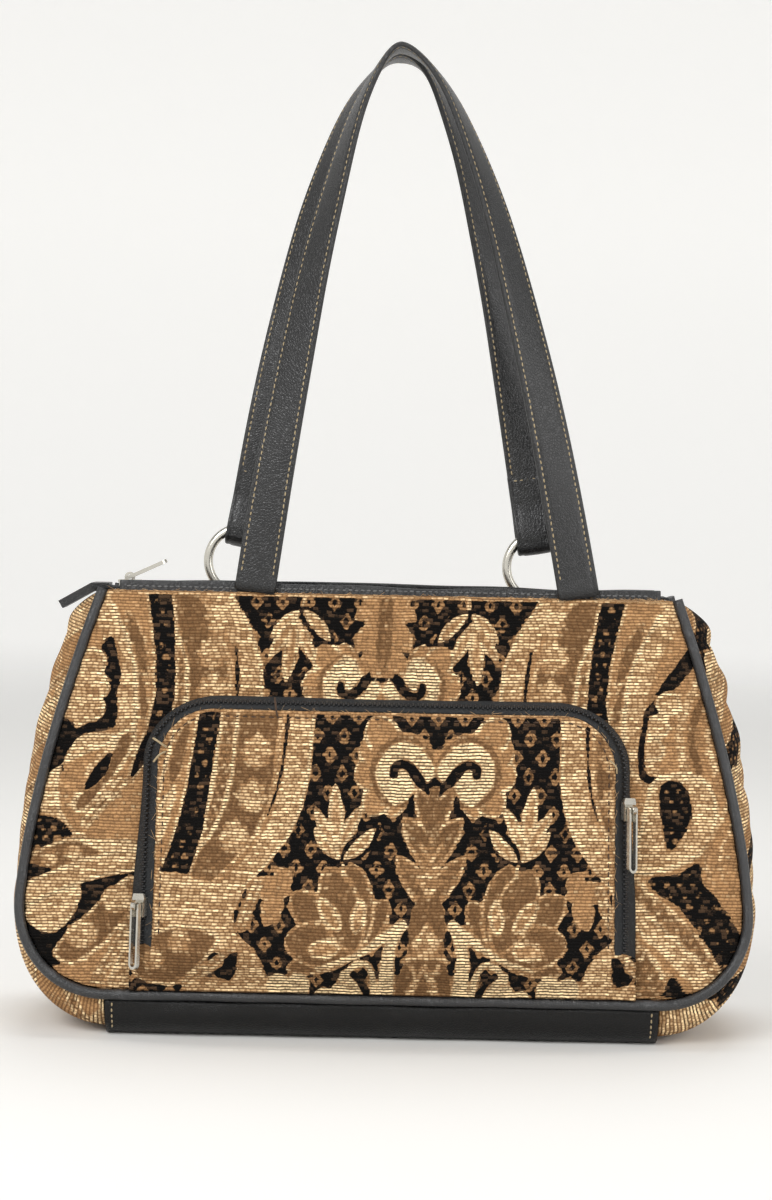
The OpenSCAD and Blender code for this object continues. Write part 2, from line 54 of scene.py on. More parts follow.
def node_box(name):
    """Lowest and highest corner of a solid, in millimetres."""
    low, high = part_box(name)
    return np.array(low) / MM, np.array(high) / MM


print("solids in the frame:", len(nodes))

# %% [markdown]
# The bag's main sizes are read off the solids: the piping gives the outline of a face, the base its
# depth, the facing its top width. The shapes that follow are the same few formulas that a pattern cutter
# would use: a face that leans back as it rises, swells in the middle and has round lower corners.

# %% Main sizes
SEAM = 0.3
piping_low, piping_high = node_box("front_piping")
PIPING_R = 2.5
BODY_W = piping_high[0] - piping_low[0] - 2 * PIPING_R
BODY_H = node_box("front_panel")[1][2]
SKIRT_H = piping_low[2] + PIPING_R
BASE_DEPTH = node_box("base_panel")[1][1] * 2
FACING_IN = 8.0
TOP_W = (node_box("front_facing")[1][0] + FACING_IN) * 2
MOUTH_DEPTH = 30.0
CORNER_R = 42.0
SWELL = 9.0
SWELL_REACH = 0.445
CLOTH_T = 2.0
CLEAR = PIPING_R + SEAM
HALF_RUN = BODY_W / 2 - CORNER_R
CORNER_TOP = SKIRT_H + CORNER_R
LEAN_SLOPE = (BASE_DEPTH - MOUTH_DEPTH) / 2 / (BODY_H - SKIRT_H)
print("body", round(BODY_W), "wide", round(BODY_H), "high", round(BASE_DEPTH), "deep")


# %% [markdown]
# A face is a few formulas: how far it leans, how much it swells and how wide it is at each height. Every
# piece that touches a face calls the same formulas, so it follows the face by itself.

# %% Shape of the faces
def ease(a, b, v):
    t = np.clip((np.asarray(v, float) - a) / (b - a), 0, 1)
    return t * t * (3 - 2 * t)


def mix(a, b, t):
    return a + (b - a) * t


def lean(z):
    return MOUTH_DEPTH / 2 + LEAN_SLOPE * (BODY_H - z)


def swell(x, z):
    bell = np.maximum(0, 1 - (x / (BODY_W * SWELL_REACH)) ** 2) ** 2
    return SWELL * bell * ease(SKIRT_H, SKIRT_H + 24, z) * (1 - ease(BODY_H - 77, BODY_H - 22, z))


def face_y(x, z):
    return -lean(z) - swell(x, z)


def side_x(z):
    t = np.maximum(0, z - CORNER_TOP) / (BODY_H - CORNER_TOP)
    return BODY_W / 2 - (BODY_W - TOP_W) / 2 * t ** 1.5


def half_width(z, inset):
    """Half width of a face at height z, moved in from the piping centre by inset."""
    r = CORNER_R - inset
    arc = HALF_RUN + np.sqrt(np.maximum(0, r * r - np.minimum(0, z - CORNER_TOP) ** 2))
    return np.where(z < CORNER_TOP, arc, side_x(z) - inset)


print("half width at half height:", round(float(side_x(BODY_H / 2))))


# %% [markdown]
# Most pieces here are skins: a strip of cloth or leather that follows a formula. Each starts as a grid
# from bmesh, whose points are moved to their places, and Solidify then gives it its thickness. A grid
# that comes round on itself is merged along its seam. Points also carry two attributes: the threads' own
# coordinates and the dye, so that the weave follows the cloth wherever it bends.

# %% Make a skin from a grid
def new_object(name, mesh):
    thing = bpy.data.objects.new(name, mesh)
    bpy.context.scene.collection.objects.link(thing)
    return thing


def smooth(mesh):
    mesh.polygons.foreach_set("use_smooth", [True] * len(mesh.polygons))
    mesh.update()


def grid_points(across, along):
    """A bmesh grid with the place of each point on it, both from 0 to 1."""
    bm = bmesh.new()
    bmesh.ops.create_grid(bm, x_segments=across, y_segments=along, size=0.5)
    bm.verts.ensure_lookup_table()
    places = np.array([(v.co.x + 0.5, v.co.y + 0.5) for v in bm.verts])
    return bm, places[:, 0], places[:, 1]


def move_points(bm, points):
    for vert, place in zip(bm.verts, np.asarray(points) * MM):
        vert.co = place


def skin(name, across, along, place, thickness=0.0, closed=False, capped=False):
    """A sheet: place(u, v) gives millimetre points for u across and v along, both 0 to 1."""
    bm, u, v = grid_points(across, along)
    move_points(bm, place(u, v))
    if closed:
        bmesh.ops.remove_doubles(bm, verts=bm.verts, dist=1e-6)
        if capped:
            bmesh.ops.holes_fill(bm, edges=bm.edges, sides=0)
        bmesh.ops.recalc_face_normals(bm, faces=bm.faces)
    mesh = bpy.data.meshes.new(name)
    bm.to_mesh(mesh)
    bm.free()
    smooth(mesh)
    piece = new_object(name, mesh)
    if thickness:
        wall = piece.modifiers.new("thickness", "SOLIDIFY")
        wall.thickness = thickness * MM
        wall.offset = -1
    return piece, u, v


def paint(piece, name, kind, values):
    """Store one value per point on the mesh, for its material to read."""
    layer = piece.data.attributes.new(name, kind, "POINT")
    field = "vector" if kind == "FLOAT_VECTOR" else "color"
    layer.data.foreach_set(field, np.asarray(values, np.float32).ravel())


def dress(piece, material, body, slot, *replaced):
    """Give a piece its finish, the body that carries it and the solids that it stands for."""
    piece.data.materials.clear()
    piece.data.materials.append(material)
    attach(piece, body)
    if replaced:
        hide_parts(*replaced)
    return piece


# %% [markdown]
# Finishes are written as sums. A Wire is one socket of a node tree, and adding or multiplying Wires adds
# the Math nodes, so a weave reads like its formula. Every other node comes from one method, and what is
# the same all over a surface is set on the shader itself.

# %% Write shaders as expressions
class Wire:
    """One output of a node tree that takes part in arithmetic."""

    def __init__(self, finish, socket):
        self.finish = finish
        self.socket = socket

    def math(self, operation, *others):
        values = dict(enumerate((self,) + others))
        return self.finish.node("ShaderNodeMath", {"operation": operation}, values)

    def turned(self, operation, other):
        return self.finish.node("ShaderNodeMath", {"operation": operation}, {0: other, 1: self})

    def __add__(self, other):
        return self.math("ADD", other)

    def __mul__(self, other):
        return self.math("MULTIPLY", other)

    def __sub__(self, other):
        return self.math("SUBTRACT", other)

    def __truediv__(self, other):
        return self.math("DIVIDE", other)

    def __rsub__(self, other):
        return self.turned("SUBTRACT", other)

    def __rtruediv__(self, other):
        return self.turned("DIVIDE", other)

    __radd__ = __add__
    __rmul__ = __mul__


# %% [markdown]
# A Finish is one material. Its methods add the few kinds of node that the bag needs, and set() links the
# results to the shader.

# %% Materials with nodes
class Finish:
    """A material whose nodes are added by expressions."""

    def __init__(self, name):
        self.material = bpy.data.materials.new(name)
        self.material.use_nodes = True
        self.tree = self.material.node_tree
        self.shader = self.tree.nodes["Principled BSDF"]

    def fill(self, socket, value):
        if isinstance(value, Wire):
            self.tree.links.new(value.socket, socket)
        elif isinstance(value, tuple) and len(value) == 3 and socket.type == "RGBA":
            socket.default_value = value + (1.0,)
        else:
            socket.default_value = value

    def node(self, kind, settings=None, sockets=None, out=0):
        item = self.tree.nodes.new(kind)
        for key, value in (settings or {}).items():
            setattr(item, key, value)
        for key, value in (sockets or {}).items():
            self.fill(item.inputs[key], value)
        return Wire(self, item.outputs[out])

    def set(self, **values):
        sockets = {socket.name.lower(): socket for socket in self.shader.inputs}
        for key, value in values.items():
            self.fill(sockets[key.replace("_", " ")], value)
        return self.material

    def blend(self, factor, a, b):
        return self.node("ShaderNodeMix", {"data_type": "RGBA"}, {0: factor, 6: a, 7: b}, out=2)

    def step(self, value, low, high):
        settings = {"interpolation_type": "SMOOTHSTEP"}
        return self.node("ShaderNodeMapRange", settings, {0: value, 1: low, 2: high, 3: 0.0, 4: 1.0})

    def noise(self, vector, scale, detail=2.0, rough=0.5):
        sockets = {"Vector": vector, "Scale": scale, "Detail": detail, "Roughness": rough}
        return self.node("ShaderNodeTexNoise", {}, sockets, out="Fac")

    def place(self):
        return self.node("ShaderNodeTexCoord", {}, {}, out="Object")

    def vector(self, x, y, z=0.0):
        return self.node("ShaderNodeCombineXYZ", {}, {0: x, 1: y, 2: z})

    def bump(self, height, distance, strength):
        sockets = {"Height": height, "Distance": distance, "Strength": strength}
        return self.node("ShaderNodeBump", {}, sockets)


def shade(red, green, blue):
    """A colour given as it looks on a screen, from 0 to 255, as the linear values that Blender mixes."""
    def line(c):
        c = c / 255
        return c / 12.92 if c <= 0.04045 else ((c + 0.055) / 1.055) ** 2.4
    return (line(red), line(green), line(blue))


# %% [markdown]
# The camera stands straight in front, a little above the middle of the bag and a long step away, so the
# sides draw together only slightly. The frame of the picture is 381 mm wide at the bag, and its height
# follows from the picture's shape. A long lens at that distance gives this, and a small roll matches a
# bag that stands a little askew.

# %% Camera
FRAME_W = 381.0
PICTURE_W, PICTURE_H = 772, 1200
FRAME_H = FRAME_W * PICTURE_H / PICTURE_W
LOOK_AT = Vector((-2.0, 0.0, 209.0)) * MM
DISTANCE = 1.05
VIEW_UP = math.radians(2.5)
VIEW_ROLL = math.radians(1.2)

eye = bpy.data.cameras.new("studio_eye")
eye.sensor_width = 36.0
eye.lens = eye.sensor_width * DISTANCE / (FRAME_H * MM)
eye.clip_end = 30
camera = new_object("studio_camera", eye)
step_back = Vector((0, -math.cos(VIEW_UP), math.sin(VIEW_UP))) * DISTANCE
turn = (-step_back).to_track_quat("-Z", "Y").to_matrix().to_4x4() @ Matrix.Rotation(VIEW_ROLL, 4, "Z")
camera.matrix_world = Matrix.Translation(LOOK_AT + step_back) @ turn
bpy.context.scene.camera = camera
bpy.context.scene.view_settings.view_transform = "Standard"
print("lens", round(eye.lens, 1))

# %% [markdown]
# A wide pale floor turns up into a wall all round, like a shallow bowl, so the picture is plain and no
# horizon line shows from any side. It is one grid wrapped round the middle, and its outer rows climb a
# quarter circle. Far from the lamps the paper would turn grey, so it glows a little there, beyond the
# reach of the shadow.

# %% Floor and light
BOWL_FLAT = 3.0
BOWL_R = 0.9
BOWL_WALL = 1.2
GLOW_START = 0.8
GLOW = 0.34
PAPER = shade(226, 225, 222)
AIM = Vector((0, 0, 0.2))
AIR_LIGHT = 0.39


def bowl(u, v):
    run = v * (BOWL_FLAT + BOWL_R * np.pi / 2 + BOWL_WALL)
    turned = np.clip((run - BOWL_FLAT) / BOWL_R, 0, np.pi / 2)
    wall = np.maximum(0, run - BOWL_FLAT - BOWL_R * np.pi / 2)
    out = np.minimum(run, BOWL_FLAT) + BOWL_R * np.sin(turned)
    angle = u * 2 * np.pi
    height = BOWL_R * (1 - np.cos(turned)) + wall
    return np.column_stack((out * np.cos(angle), out * np.sin(angle), height)) / MM


floor, _, _ = skin("studio_floor", 72, 60, bowl, closed=True)
paper = Finish("studio_paper")
distance = paper.node("ShaderNodeVectorMath", {"operation": "LENGTH"}, {0: paper.place()}, out="Value")
glow = paper.blend(paper.step(distance, GLOW_START, BOWL_FLAT), (0.0, 0.0, 0.0), (1.0, 1.0, 1.0))
paper.set(base_color=PAPER, roughness=0.9, emission_color=glow, emission_strength=GLOW)
floor.data.materials.append(paper.material)

LAMPS = {
    "key_lamp": ((-0.9, -1.3, 1.35), 1.0, 24.0),
    "fill_lamp": ((1.2, -1.1, 0.75), 1.2, 11.0),
    "top_lamp": ((0.1, 0.35, 1.6), 1.2, 13.0),
}
for name, (place, size, power) in LAMPS.items():
    lamp = bpy.data.lights.new(name, "AREA")
    lamp.size = size
    lamp.energy = power
    holder = new_object(name, lamp)
    aim = AIM - Vector(place)
    holder.matrix_world = Matrix.Translation(place) @ aim.to_track_quat("-Z", "Y").to_matrix().to_4x4()
world = bpy.context.scene.world or bpy.data.worlds.new("studio_air")
bpy.context.scene.world = world
world.use_nodes = True
air = world.node_tree.nodes["Background"]
air.inputs["Color"].default_value = (1.0, 1.0, 1.0, 1.0)
air.inputs["Strength"].default_value = AIR_LIGHT
print("lamps:", len(LAMPS))

# %% [markdown]
# The cloth is a ribbed tapestry: thick weft rows lie side by side, each dyed thread showing where the
# design wants its colour. The mesh carries the design as three weights (black, brown and straw, with tan
# for the rest) and the place along and across the threads. The finish draws the rows: a crown on each, a
# painted shade in the gap between two, and short floats along a row, each with its own tone and a dip at
# its ends that is painted darker as shade. A little chance in every row makes the edges of a motif step
# from row to row.

# %% Tapestry finish
RIB = 1.5
PICK = 2.8
TAN = shade(168, 128, 87)
BROWN = shade(113, 84, 55)
STRAW = shade(246, 216, 168)
# The two gap colours are painted shade for the low lines between rows, deeper between straw rows.
WARM_GAP_SHADE = shade(96, 63, 39)
DARK_GAP_SHADE = shade(44, 29, 20)
BLACK = shade(11, 9, 8)
BLACK_FLECK = shade(74, 56, 41)


def split(vector):
    """The three parts of a vector or a colour."""
    item = vector.finish.node("ShaderNodeSeparateXYZ", {}, {0: vector}).socket.node
    return [Wire(vector.finish, socket) for socket in item.outputs]


def attribute(finish, name, out):
    return finish.node("ShaderNodeAttribute", {"attribute_name": name}, {}, out=out)


def tapestry_finish():
    cloth = Finish("tapestry")
    along, up, turn = split(attribute(cloth, "thread", "Vector"))
    black, brown, straw = split(attribute(cloth, "dye", "Color"))
    wander = cloth.noise(cloth.vector(along * 0.03, up * 0.05, turn), 1.0)
    quiver = cloth.noise(cloth.vector(along * 0.3, up * 0.12, turn), 1.0)
    rows = up / RIB + wander * 1.6 + quiver * 0.5
    row = rows.math("FLOOR")
    chance = cloth.node("ShaderNodeTexWhiteNoise", {"noise_dimensions": "1D"}, {"W": row + turn})
    crown = ((rows - row) * math.pi).math("SINE")
    # gap marks the low line between two rows, where the finish paints shade.
    gap = 1 - cloth.step(crown, 0.3, 0.92)
    slub = cloth.noise(cloth.vector(along * 0.4, row * 3.7, turn), 1.0, 3.0, 0.6)
    fibre = cloth.noise(cloth.vector(along * 1.1, up * 2.6, turn), 1.0, 3.0, 0.7)
    floats = along / PICK + chance * 9.0 + quiver * 0.8
    cell = floats.math("FLOOR")
    pick = cloth.node("ShaderNodeTexWhiteNoise", {"noise_dimensions": "2D"},
                      {"Vector": cloth.vector(cell, row)})
    dive = 1 - cloth.step(((floats - cell) * math.pi).math("SINE"), 0.1, 0.75)
    broad = cloth.noise(cloth.vector(along * 0.022, up * 0.03, turn + 5.0), 1.0, 3.0, 0.6)
    stray = (slub - 0.5) * 1.5 + (chance - 0.5) * 0.8
    brown_here = cloth.step(brown + stray + (pick - 0.5) * 0.6, 0.3, 0.7)
    straw_here = cloth.step(straw + stray * 0.4 + (pick - 0.5) * 0.5 - dive * 0.2, 0.1, 1.0)
    black_here = cloth.step(black + stray * 0.42 + (pick - 0.5) * 0.3, 0.4, 0.6)
    colour = cloth.blend(brown_here, TAN, BROWN)
    colour = cloth.blend(straw_here, colour, STRAW)
    # tone is also lowered where a float dives under: painted shade in the dip at its ends.
    tone = 0.3 + slub * 0.7 + (fibre - 0.5) * 1.6 + chance * 0.16 + broad * 0.24 + pick * 0.56 - dive * 0.24
    colour = cloth.node("ShaderNodeHueSaturation", {}, {"Value": tone, "Color": colour})
    # Painted shade in the gaps between rows: warm brown in tan rows, deeper between straw rows, and
    # strongest where straw lies.
    groove = cloth.blend(cloth.step(straw + slub, 0.9, 1.5), WARM_GAP_SHADE, DARK_GAP_SHADE)
    colour = cloth.blend(gap * (0.56 + straw_here * 0.44), colour, groove)
    fleck = cloth.step(pick + (fibre - 0.5) * 0.8, 0.72, 1.0)
    colour = cloth.blend(black_here, colour, cloth.blend(fleck, BLACK, BLACK_FLECK))
    height = crown * 0.7 - dive * 0.3 + fibre * 0.5 + straw_here * 0.35 - black_here * 0.2
    relief = cloth.bump(height, 0.0007, 0.9)
    return cloth.set(base_color=colour, roughness=0.9, normal=relief, specular_ior_level=0.12)


TAPESTRY = tapestry_finish()
print("rows to the centimetre:", round(10 / RIB, 1))

# %% [markdown]
# Black leather is hardly ever plain black: its pores catch light, bends are polished, and rubbed places
# turn grey. Small cells make the grain, a broad noise makes the polish, and both go into roughness and
# bump.

# %% Leather finishes
GRAIN = 780.0


def leather_finish(name, dark, paler, polish, shine=0.55):
    hide = Finish(name)
    place = hide.place()
    cells = hide.node("ShaderNodeTexVoronoi", {"feature": "DISTANCE_TO_EDGE"},
                      {"Vector": place, "Scale": GRAIN})
    pores = hide.step(cells, 0.0, 0.22)
    broad = hide.noise(place, 28.0, 4.0, 0.6)
    fine = hide.noise(place, 420.0, 3.0, 0.6)
    scuff = hide.step(hide.noise(place, 75.0, 6.0, 0.72), 0.56, 0.74)
    colour = hide.blend(scuff * 0.55 + broad * 0.2, dark, paler)
    relief = hide.bump(pores * 0.6 + fine * 0.5 + broad * 2.0, 0.00022, 0.75)
    rough = polish + fine * 0.12 + scuff * 0.1 - broad * 0.08
    return hide.set(base_color=colour, roughness=rough, normal=relief, specular_ior_level=shine)


LEATHER = leather_finish("black_leather", shade(17, 17, 18), shade(38, 38, 39), 0.3)
PIPING = leather_finish("piping_leather", shade(27, 27, 28), shade(84, 84, 86), 0.3)
BASE_HIDE = leather_finish("base_leather", shade(9, 9, 9), shade(26, 25, 23), 0.32, 0.3)
print("hides:", [hide.name for hide in (LEATHER, PIPING, BASE_HIDE)])


# %% [markdown]
# The other cloths are finer. Zip tape is a tight twill, the lining and the base board are plain weaves,
# and sewing thread is twisted. Crossing sines give a weave and one slanting sine a twist, which is enough
# at this size, and a noise adds lint and stains.

# %% Zip tape, lining, board and thread finishes
def tape_finish():
    tape = Finish("zip_tape")
    x, y, z = split(tape.place())
    twill = ((x + y + z * 1.4) * 5200.0).math("SINE")
    cross = ((x - y - z * 1.4) * 7400.0).math("SINE")
    lint = tape.noise(tape.place(), 600.0, 3.0, 0.7)
    colour = tape.blend(tape.step(lint, 0.52, 0.8) * 0.6, shade(26, 28, 30), shade(72, 76, 78))
    relief = tape.bump(twill * 0.5 + cross * 0.3 + lint, 0.00025, 0.8)
    return tape.set(base_color=colour, roughness=0.72, normal=relief)


def woven_finish(name, dark, pale, count):
    web = Finish(name)
    x, y, z = split(web.place())
    warp = ((x + y) * count).math("SINE")
    weft = (z * count).math("SINE")
    lint = web.noise(web.place(), 260.0, 4.0, 0.6)
    colour = web.blend(warp * weft * 0.2 + lint * 0.6, dark, pale)
    return web.set(base_color=colour, roughness=0.8, normal=web.bump(warp * weft + lint, 0.0002, 0.6))


def thread_finish(name, dark, pale):
    yarn = Finish(name)
    x, y, z = split(yarn.place())
    twist = ((x * 1.3 + y + z * 0.8) * 9000.0).math("SINE")
    stain = yarn.noise(yarn.place(), 90.0, 3.0, 0.6)
    colour = yarn.blend(twist * 0.18 + stain * 0.75, dark, pale)
    return yarn.set(base_color=colour, roughness=0.75, normal=yarn.bump(twist, 0.00012, 0.7))


TAPE = tape_finish()
LINING = woven_finish("lining_cloth", shade(38, 34, 32), shade(62, 56, 52), 5200.0)
BOARD = woven_finish("base_board", shade(96, 84, 66), shade(128, 112, 88), 900.0)
CREAM = thread_finish("cream_thread", shade(142, 122, 92), shade(206, 188, 150))
DARK_THREAD = thread_finish("dark_thread", shade(48, 34, 24), shade(92, 66, 44))
GREY_THREAD = thread_finish("grey_thread", shade(66, 66, 67), shade(150, 150, 148))
TAN_THREAD = thread_finish("tan_thread", shade(150, 112, 74), shade(220, 186, 138))
print("threads:", [yarn.name for yarn in (CREAM, DARK_THREAD, GREY_THREAD, TAN_THREAD)])


# %% [markdown]
# Plated metal is bright but never clean: smears change its gloss and small pits dull it. The zip's coil
# is dark nylon with dust in it. A flat colour would do from far away, but a noise in each keeps a
# highlight from looking printed.

# %% Nickel and zip coil finishes
def nickel_finish():
    metal = Finish("nickel")
    place = metal.place()
    smear = metal.noise(place, 140.0, 4.0, 0.6)
    pits = metal.step(metal.noise(place, 900.0, 3.0, 0.7), 0.62, 0.8)
    colour = metal.blend(pits * 0.6 + smear * 0.25, shade(214, 211, 202), shade(150, 140, 122))
    relief = metal.bump(smear * 0.6 - pits, 0.00008, 0.5)
    rough = 0.16 + smear * 0.2 + pits * 0.2
    return metal.set(base_color=colour, metallic=1.0, roughness=rough, normal=relief)


def nylon_finish():
    nylon = Finish("zip_coil")
    dust = nylon.noise(nylon.place(), 320.0, 3.0, 0.6)
    colour = nylon.blend(dust * 0.6, shade(18, 18, 19), shade(46, 46, 48))
    return nylon.set(base_color=colour, roughness=0.36 + dust * 0.2)


NICKEL = nickel_finish()
NYLON = nylon_finish()
print("finishes:", len(bpy.data.materials))

# %% [markdown]
# The design is a traditional one of paisley swirls, sprigs and flowers, mirrored about a middle line. It
# could be drawn by texture nodes, but a design of curved leaves is far easier to draw as a painter does:
# each shape is a distance from a leaf, a line or a patch, laid over what was there before. The result is
# stored on the points of the cloth. Places are millimetres out from the middle line (q) and up from the
# table (z).

# %% Draw on cloth
EDGE = 1.8
SKEW = 0.039
RISE = 3.5
POCKET_AXIS = 18.1
BODY_AXIS = -9.8
INKS = {
    "black": (1.0, 0.0, 0.0),
    "brown": (0.0, 1.0, 0.0),
    "umber": (0.16, 0.84, 0.0),
    "soot": (0.56, 0.44, 0.0),
    "tan": (0.0, 0.0, 0.0),
    "amber": (0.0, 0.0, 0.3),
    "gold": (0.0, 0.0, 0.5),
    "straw": (0.0, 0.0, 1.0),
}


def smooth_path(points, steps=5, closed=False):
    """A smooth line through a few points, as a Catmull-Rom curve."""
    given = np.array(points, float)
    if closed:
        ends = np.vstack((given[-1], given, given[:2]))
        given = np.vstack((given, given[0]))
    else:
        ends = np.vstack((2 * given[0] - given[1], given, 2 * given[-1] - given[-2]))
    found = []
    for i in range(len(given) - 1):
        a, b, c, d = ends[i:i + 4]
        for t in np.arange(steps) / steps:
            bend = 2 * a - 5 * b + 4 * c - d + t * (3 * (b - c) + d - a)
            found.append(b + 0.5 * t * (c - a + t * bend))
    return np.array(found + [given[-1]])


print("inks:", len(INKS))


# %% [markdown]
# The loom holds the dye of every point. Most of its methods give the distance from a shape, and lay()
# weaves an ink wherever that distance is below zero. The last ones weave a whole texture.

# %% The loom
class Loom:
    """Dyes at each point of a cloth, laid shape by shape."""

    def __init__(self, x, z, axis, ground):
        self.p = x - axis - SKEW * z
        self.q = np.abs(self.p)
        self.z = np.asarray(z, float) + RISE
        self.dye = np.tile(INKS[ground], (len(self.q), 1))
        self.open = np.full(len(self.q), -1e3)

    def only(self, side=0):
        """Draw from here on only on the left (-1), on the right (1) or on both sides (0)."""
        self.open = -side * self.p if side else np.full(len(self.q), -1e3)

    def lay(self, distance, ink):
        """Weave an ink wherever a distance is below zero."""
        cover = np.clip(0.5 - np.maximum(distance, self.open) / EDGE, 0, 1)[:, None]
        self.dye = self.dye * (1 - cover) + np.array(INKS[ink]) * cover

    def rimmed(self, distance, ink, rim="straw", width=1.4):
        self.lay(distance, rim)
        self.lay(distance + width, ink)

    def line(self, points, width, end=1.0):
        """Distance from a smooth line, which may taper to a share of its width."""
        path = smooth_path(points)
        found = np.full(len(self.q), 1e3)
        for i in range(len(path) - 1):
            (qa, za), (dq, dz) = path[i], path[i + 1] - path[i]
            t = np.clip(((self.q - qa) * dq + (self.z - za) * dz) / (dq * dq + dz * dz + 1e-9), 0, 1)
            half = width / 2 * mix(1, end, (i + t) / (len(path) - 1))
            found = np.minimum(found, np.hypot(self.q - qa - t * dq, self.z - za - t * dz) - half)
        return found

    def patch(self, *points):
        """Distance from a smooth closed outline, below zero inside it."""
        path = smooth_path(points, 4, closed=True)
        found = np.full(len(self.q), 1e3)
        inside = np.zeros(len(self.q), bool)
        for (qa, za), (qb, zb) in zip(path[:-1], path[1:]):
            dq, dz = qb - qa, zb - za
            t = np.clip(((self.q - qa) * dq + (self.z - za) * dz) / (dq * dq + dz * dz + 1e-9), 0, 1)
            found = np.minimum(found, np.hypot(self.q - qa - t * dq, self.z - za - t * dz))
            crossed = (za > self.z) != (zb > self.z)
            inside ^= crossed & (self.q < qa + (self.z - za) * dq / (dz if abs(dz) > 1e-9 else 1e-9))
        return np.where(inside, -found, found)

    def leaf(self, root, tip, width, bend=0.0, fullness=0.75):
        """Distance from a leaf that is pointed at both ends."""
        run = np.array(tip, float) - root
        length = np.hypot(*run)
        dq, dz = self.q - root[0], self.z - root[1]
        along = (dq * run[0] + dz * run[1]) / length
        t = np.clip(along / length, 0, 1)
        hump = 4 * t * (1 - t)
        across = np.abs((dz * run[0] - dq * run[1]) / length - bend * hump) - width / 2 * hump ** fullness
        return np.hypot(np.maximum(across, 0), along - t * length) + np.minimum(across, 0)

    def blob(self, centre, wide, high):
        """Distance from an oval."""
        dq, dz = (self.q - centre[0]) / wide, (self.z - centre[1]) / high
        return (np.hypot(dq, dz) - 1.0) * min(wide, high)

    def between(self, inner, outer, low, high):
        """Distance from a band between two edges, each given as (z, q) places."""
        a = np.interp(self.z, *np.array(sorted(inner)).T)
        b = np.interp(self.z, *np.array(sorted(outer)).T)
        return np.maximum.reduce([a - self.q, self.q - b, low - self.z, self.z - high])

    def lattice(self, pitch=12.6, rise=8.8):
        """Small hollow diamonds in staggered rows, only where black shows."""
        row = np.round(self.z / rise)
        shift = np.where(row % 2 == 0, 0.0, pitch / 2)
        across = np.abs((self.p - shift + pitch / 2) % pitch - pitch / 2)
        up = np.abs(self.z - row * rise)
        ring = (across / 3.3 + up / 4.7 - 1) * 2.4
        self.lay(ring, "umber")
        self.lay((across / 1.25 + up / 1.9 - 1) * 1.1, "black")

    def speckle(self, inside, ink, pitch, size):
        """Dots in staggered rows, kept inside a distance."""
        row = np.round(self.z / pitch)
        across = np.abs((self.p + row * pitch * 0.45) % (pitch * 1.2) - pitch * 0.6)
        dot = np.hypot(across, self.z - row * pitch) - size
        self.lay(np.maximum(dot, inside + 1.0), ink)

    def spotted(self, distance, pitch, size):
        """A black field with soft spots."""
        self.lay(distance, "black")
        self.speckle(distance, "soot", pitch, size)

    def beads(self, points, gap=3.0, pitch=2.9):
        """Two rows of straw dashes beside a brown line."""
        line = self.line(points, gap * 2)
        self.lay(line, "umber")
        dash = np.abs((self.z + pitch / 2) % pitch - pitch / 2) - pitch * 0.3
        self.lay(np.maximum(np.abs(line + gap / 2) - gap * 0.28, dash), "straw")


print("loom:", [name for name in vars(Loom) if not name.startswith("_")])


# %% [markdown]
# The motifs come next, each as its own short function: a sprig of leaves, a many-petalled flower, a pair
# of scroll lobes, and a crown-like medallion that climbs along the border bands.

# %% Motifs
def sprig(loom, q, z, up=1):
    """A crown of leaves and one leaf apart on a stem that forks at q, z. It hangs if up is -1."""
    def at(a, b):
        return (q + a, z + up * b)
    loom.lay(loom.line([at(0, 0), at(-0.7, -7)], 2.0, 0.6), "straw")
    crown = loom.leaf(at(0, 0), at(14.5, 14.5), 5.6, -1.5 * up)
    for tip, width in (((-7.5, 25), 6.4), ((5.6, 35), 7.4), ((14.6, 23), 6.4)):
        crown = np.minimum(crown, loom.leaf(at(3, 4), at(*tip), width))
    loom.rimmed(crown, "amber")
    side_leaf = loom.leaf(at(-0.5, 0), at(-14.5, 15), 6.4, 0.8 * up)
    loom.lay(side_leaf - 1.5, "black")
    loom.rimmed(side_leaf, "amber")


def lotus(loom, q, z):
    """Brown petals round three gold hearts, with the root of the flower at q, z."""
    petals = [(31.5, -10, 13), (-14, 24, 13), (31, 26, 20), (33, 5, 22), (3.5, 40, 20), (15, 38.5, 20)]
    for dq, dz, width in petals:
        loom.rimmed(loom.leaf((q, z), (q + dq, z + dz), width, 0, 0.55), "brown", "gold", 1.5)
    for root, tip, width in (((0.4, 8), (-2, 24), 7), ((7.5, 9), (18, 24), 8), ((7, 1), (22, 0.5), 9)):
        leaf = loom.leaf((q + root[0], z + root[1]), (q + tip[0], z + tip[1]), width, 0, 0.6)
        loom.rimmed(leaf, "amber")


def scroll_lobes(loom, q, z, up=1):
    """A pair of cream lobes with black commas, in pointed petals."""
    def at(*places):
        return [(q + a, z + up * b) for a, b in places]
    petals = [((3, -4), (4.9, -20.5), 13), ((7, -4), (16, -19.5), 15), ((8, 0), (23.5, -1), 17),
              ((8, 8), (21, 14), 17), ((4, 8), (17, 25), 17)]
    for root, tip, width in petals:
        root, tip = at(root, tip)
        loom.rimmed(loom.leaf(root, tip, width, 0, 0.5), "tan", "straw", 1.7)
    loom.lay(loom.blob((q + 1, z + up * 1.5), 17.4, 17.4), "tan")
    loom.lay(loom.blob((q + 0.5, z + up * 0.5), 15.6, 16.6), "brown")
    loom.lay(loom.patch(*at((0, 14.8), (8, 11.5), (13, 3), (12, -6), (6, -13), (2, -14.8), (-3, -12),
                            (-6, -7), (-12, -4), (-14.5, 2), (-10, 9), (-5, 13.2))), "straw")
    loom.lay(loom.patch(*at((-15.5, -3), (-11, -5), (-6, -8), (-3, -13), (-4, -22), (-15.5, -22))),
             "black")
    comma = at((4.6, -0.7), (4.4, 2.6), (0.7, 4.1), (-3.2, 2.4), (-6.6, -2.2), (-9.7, -7.5),
               (-11.5, -11.5))
    loom.lay(loom.line(comma, 3.8, 1.5), "black")


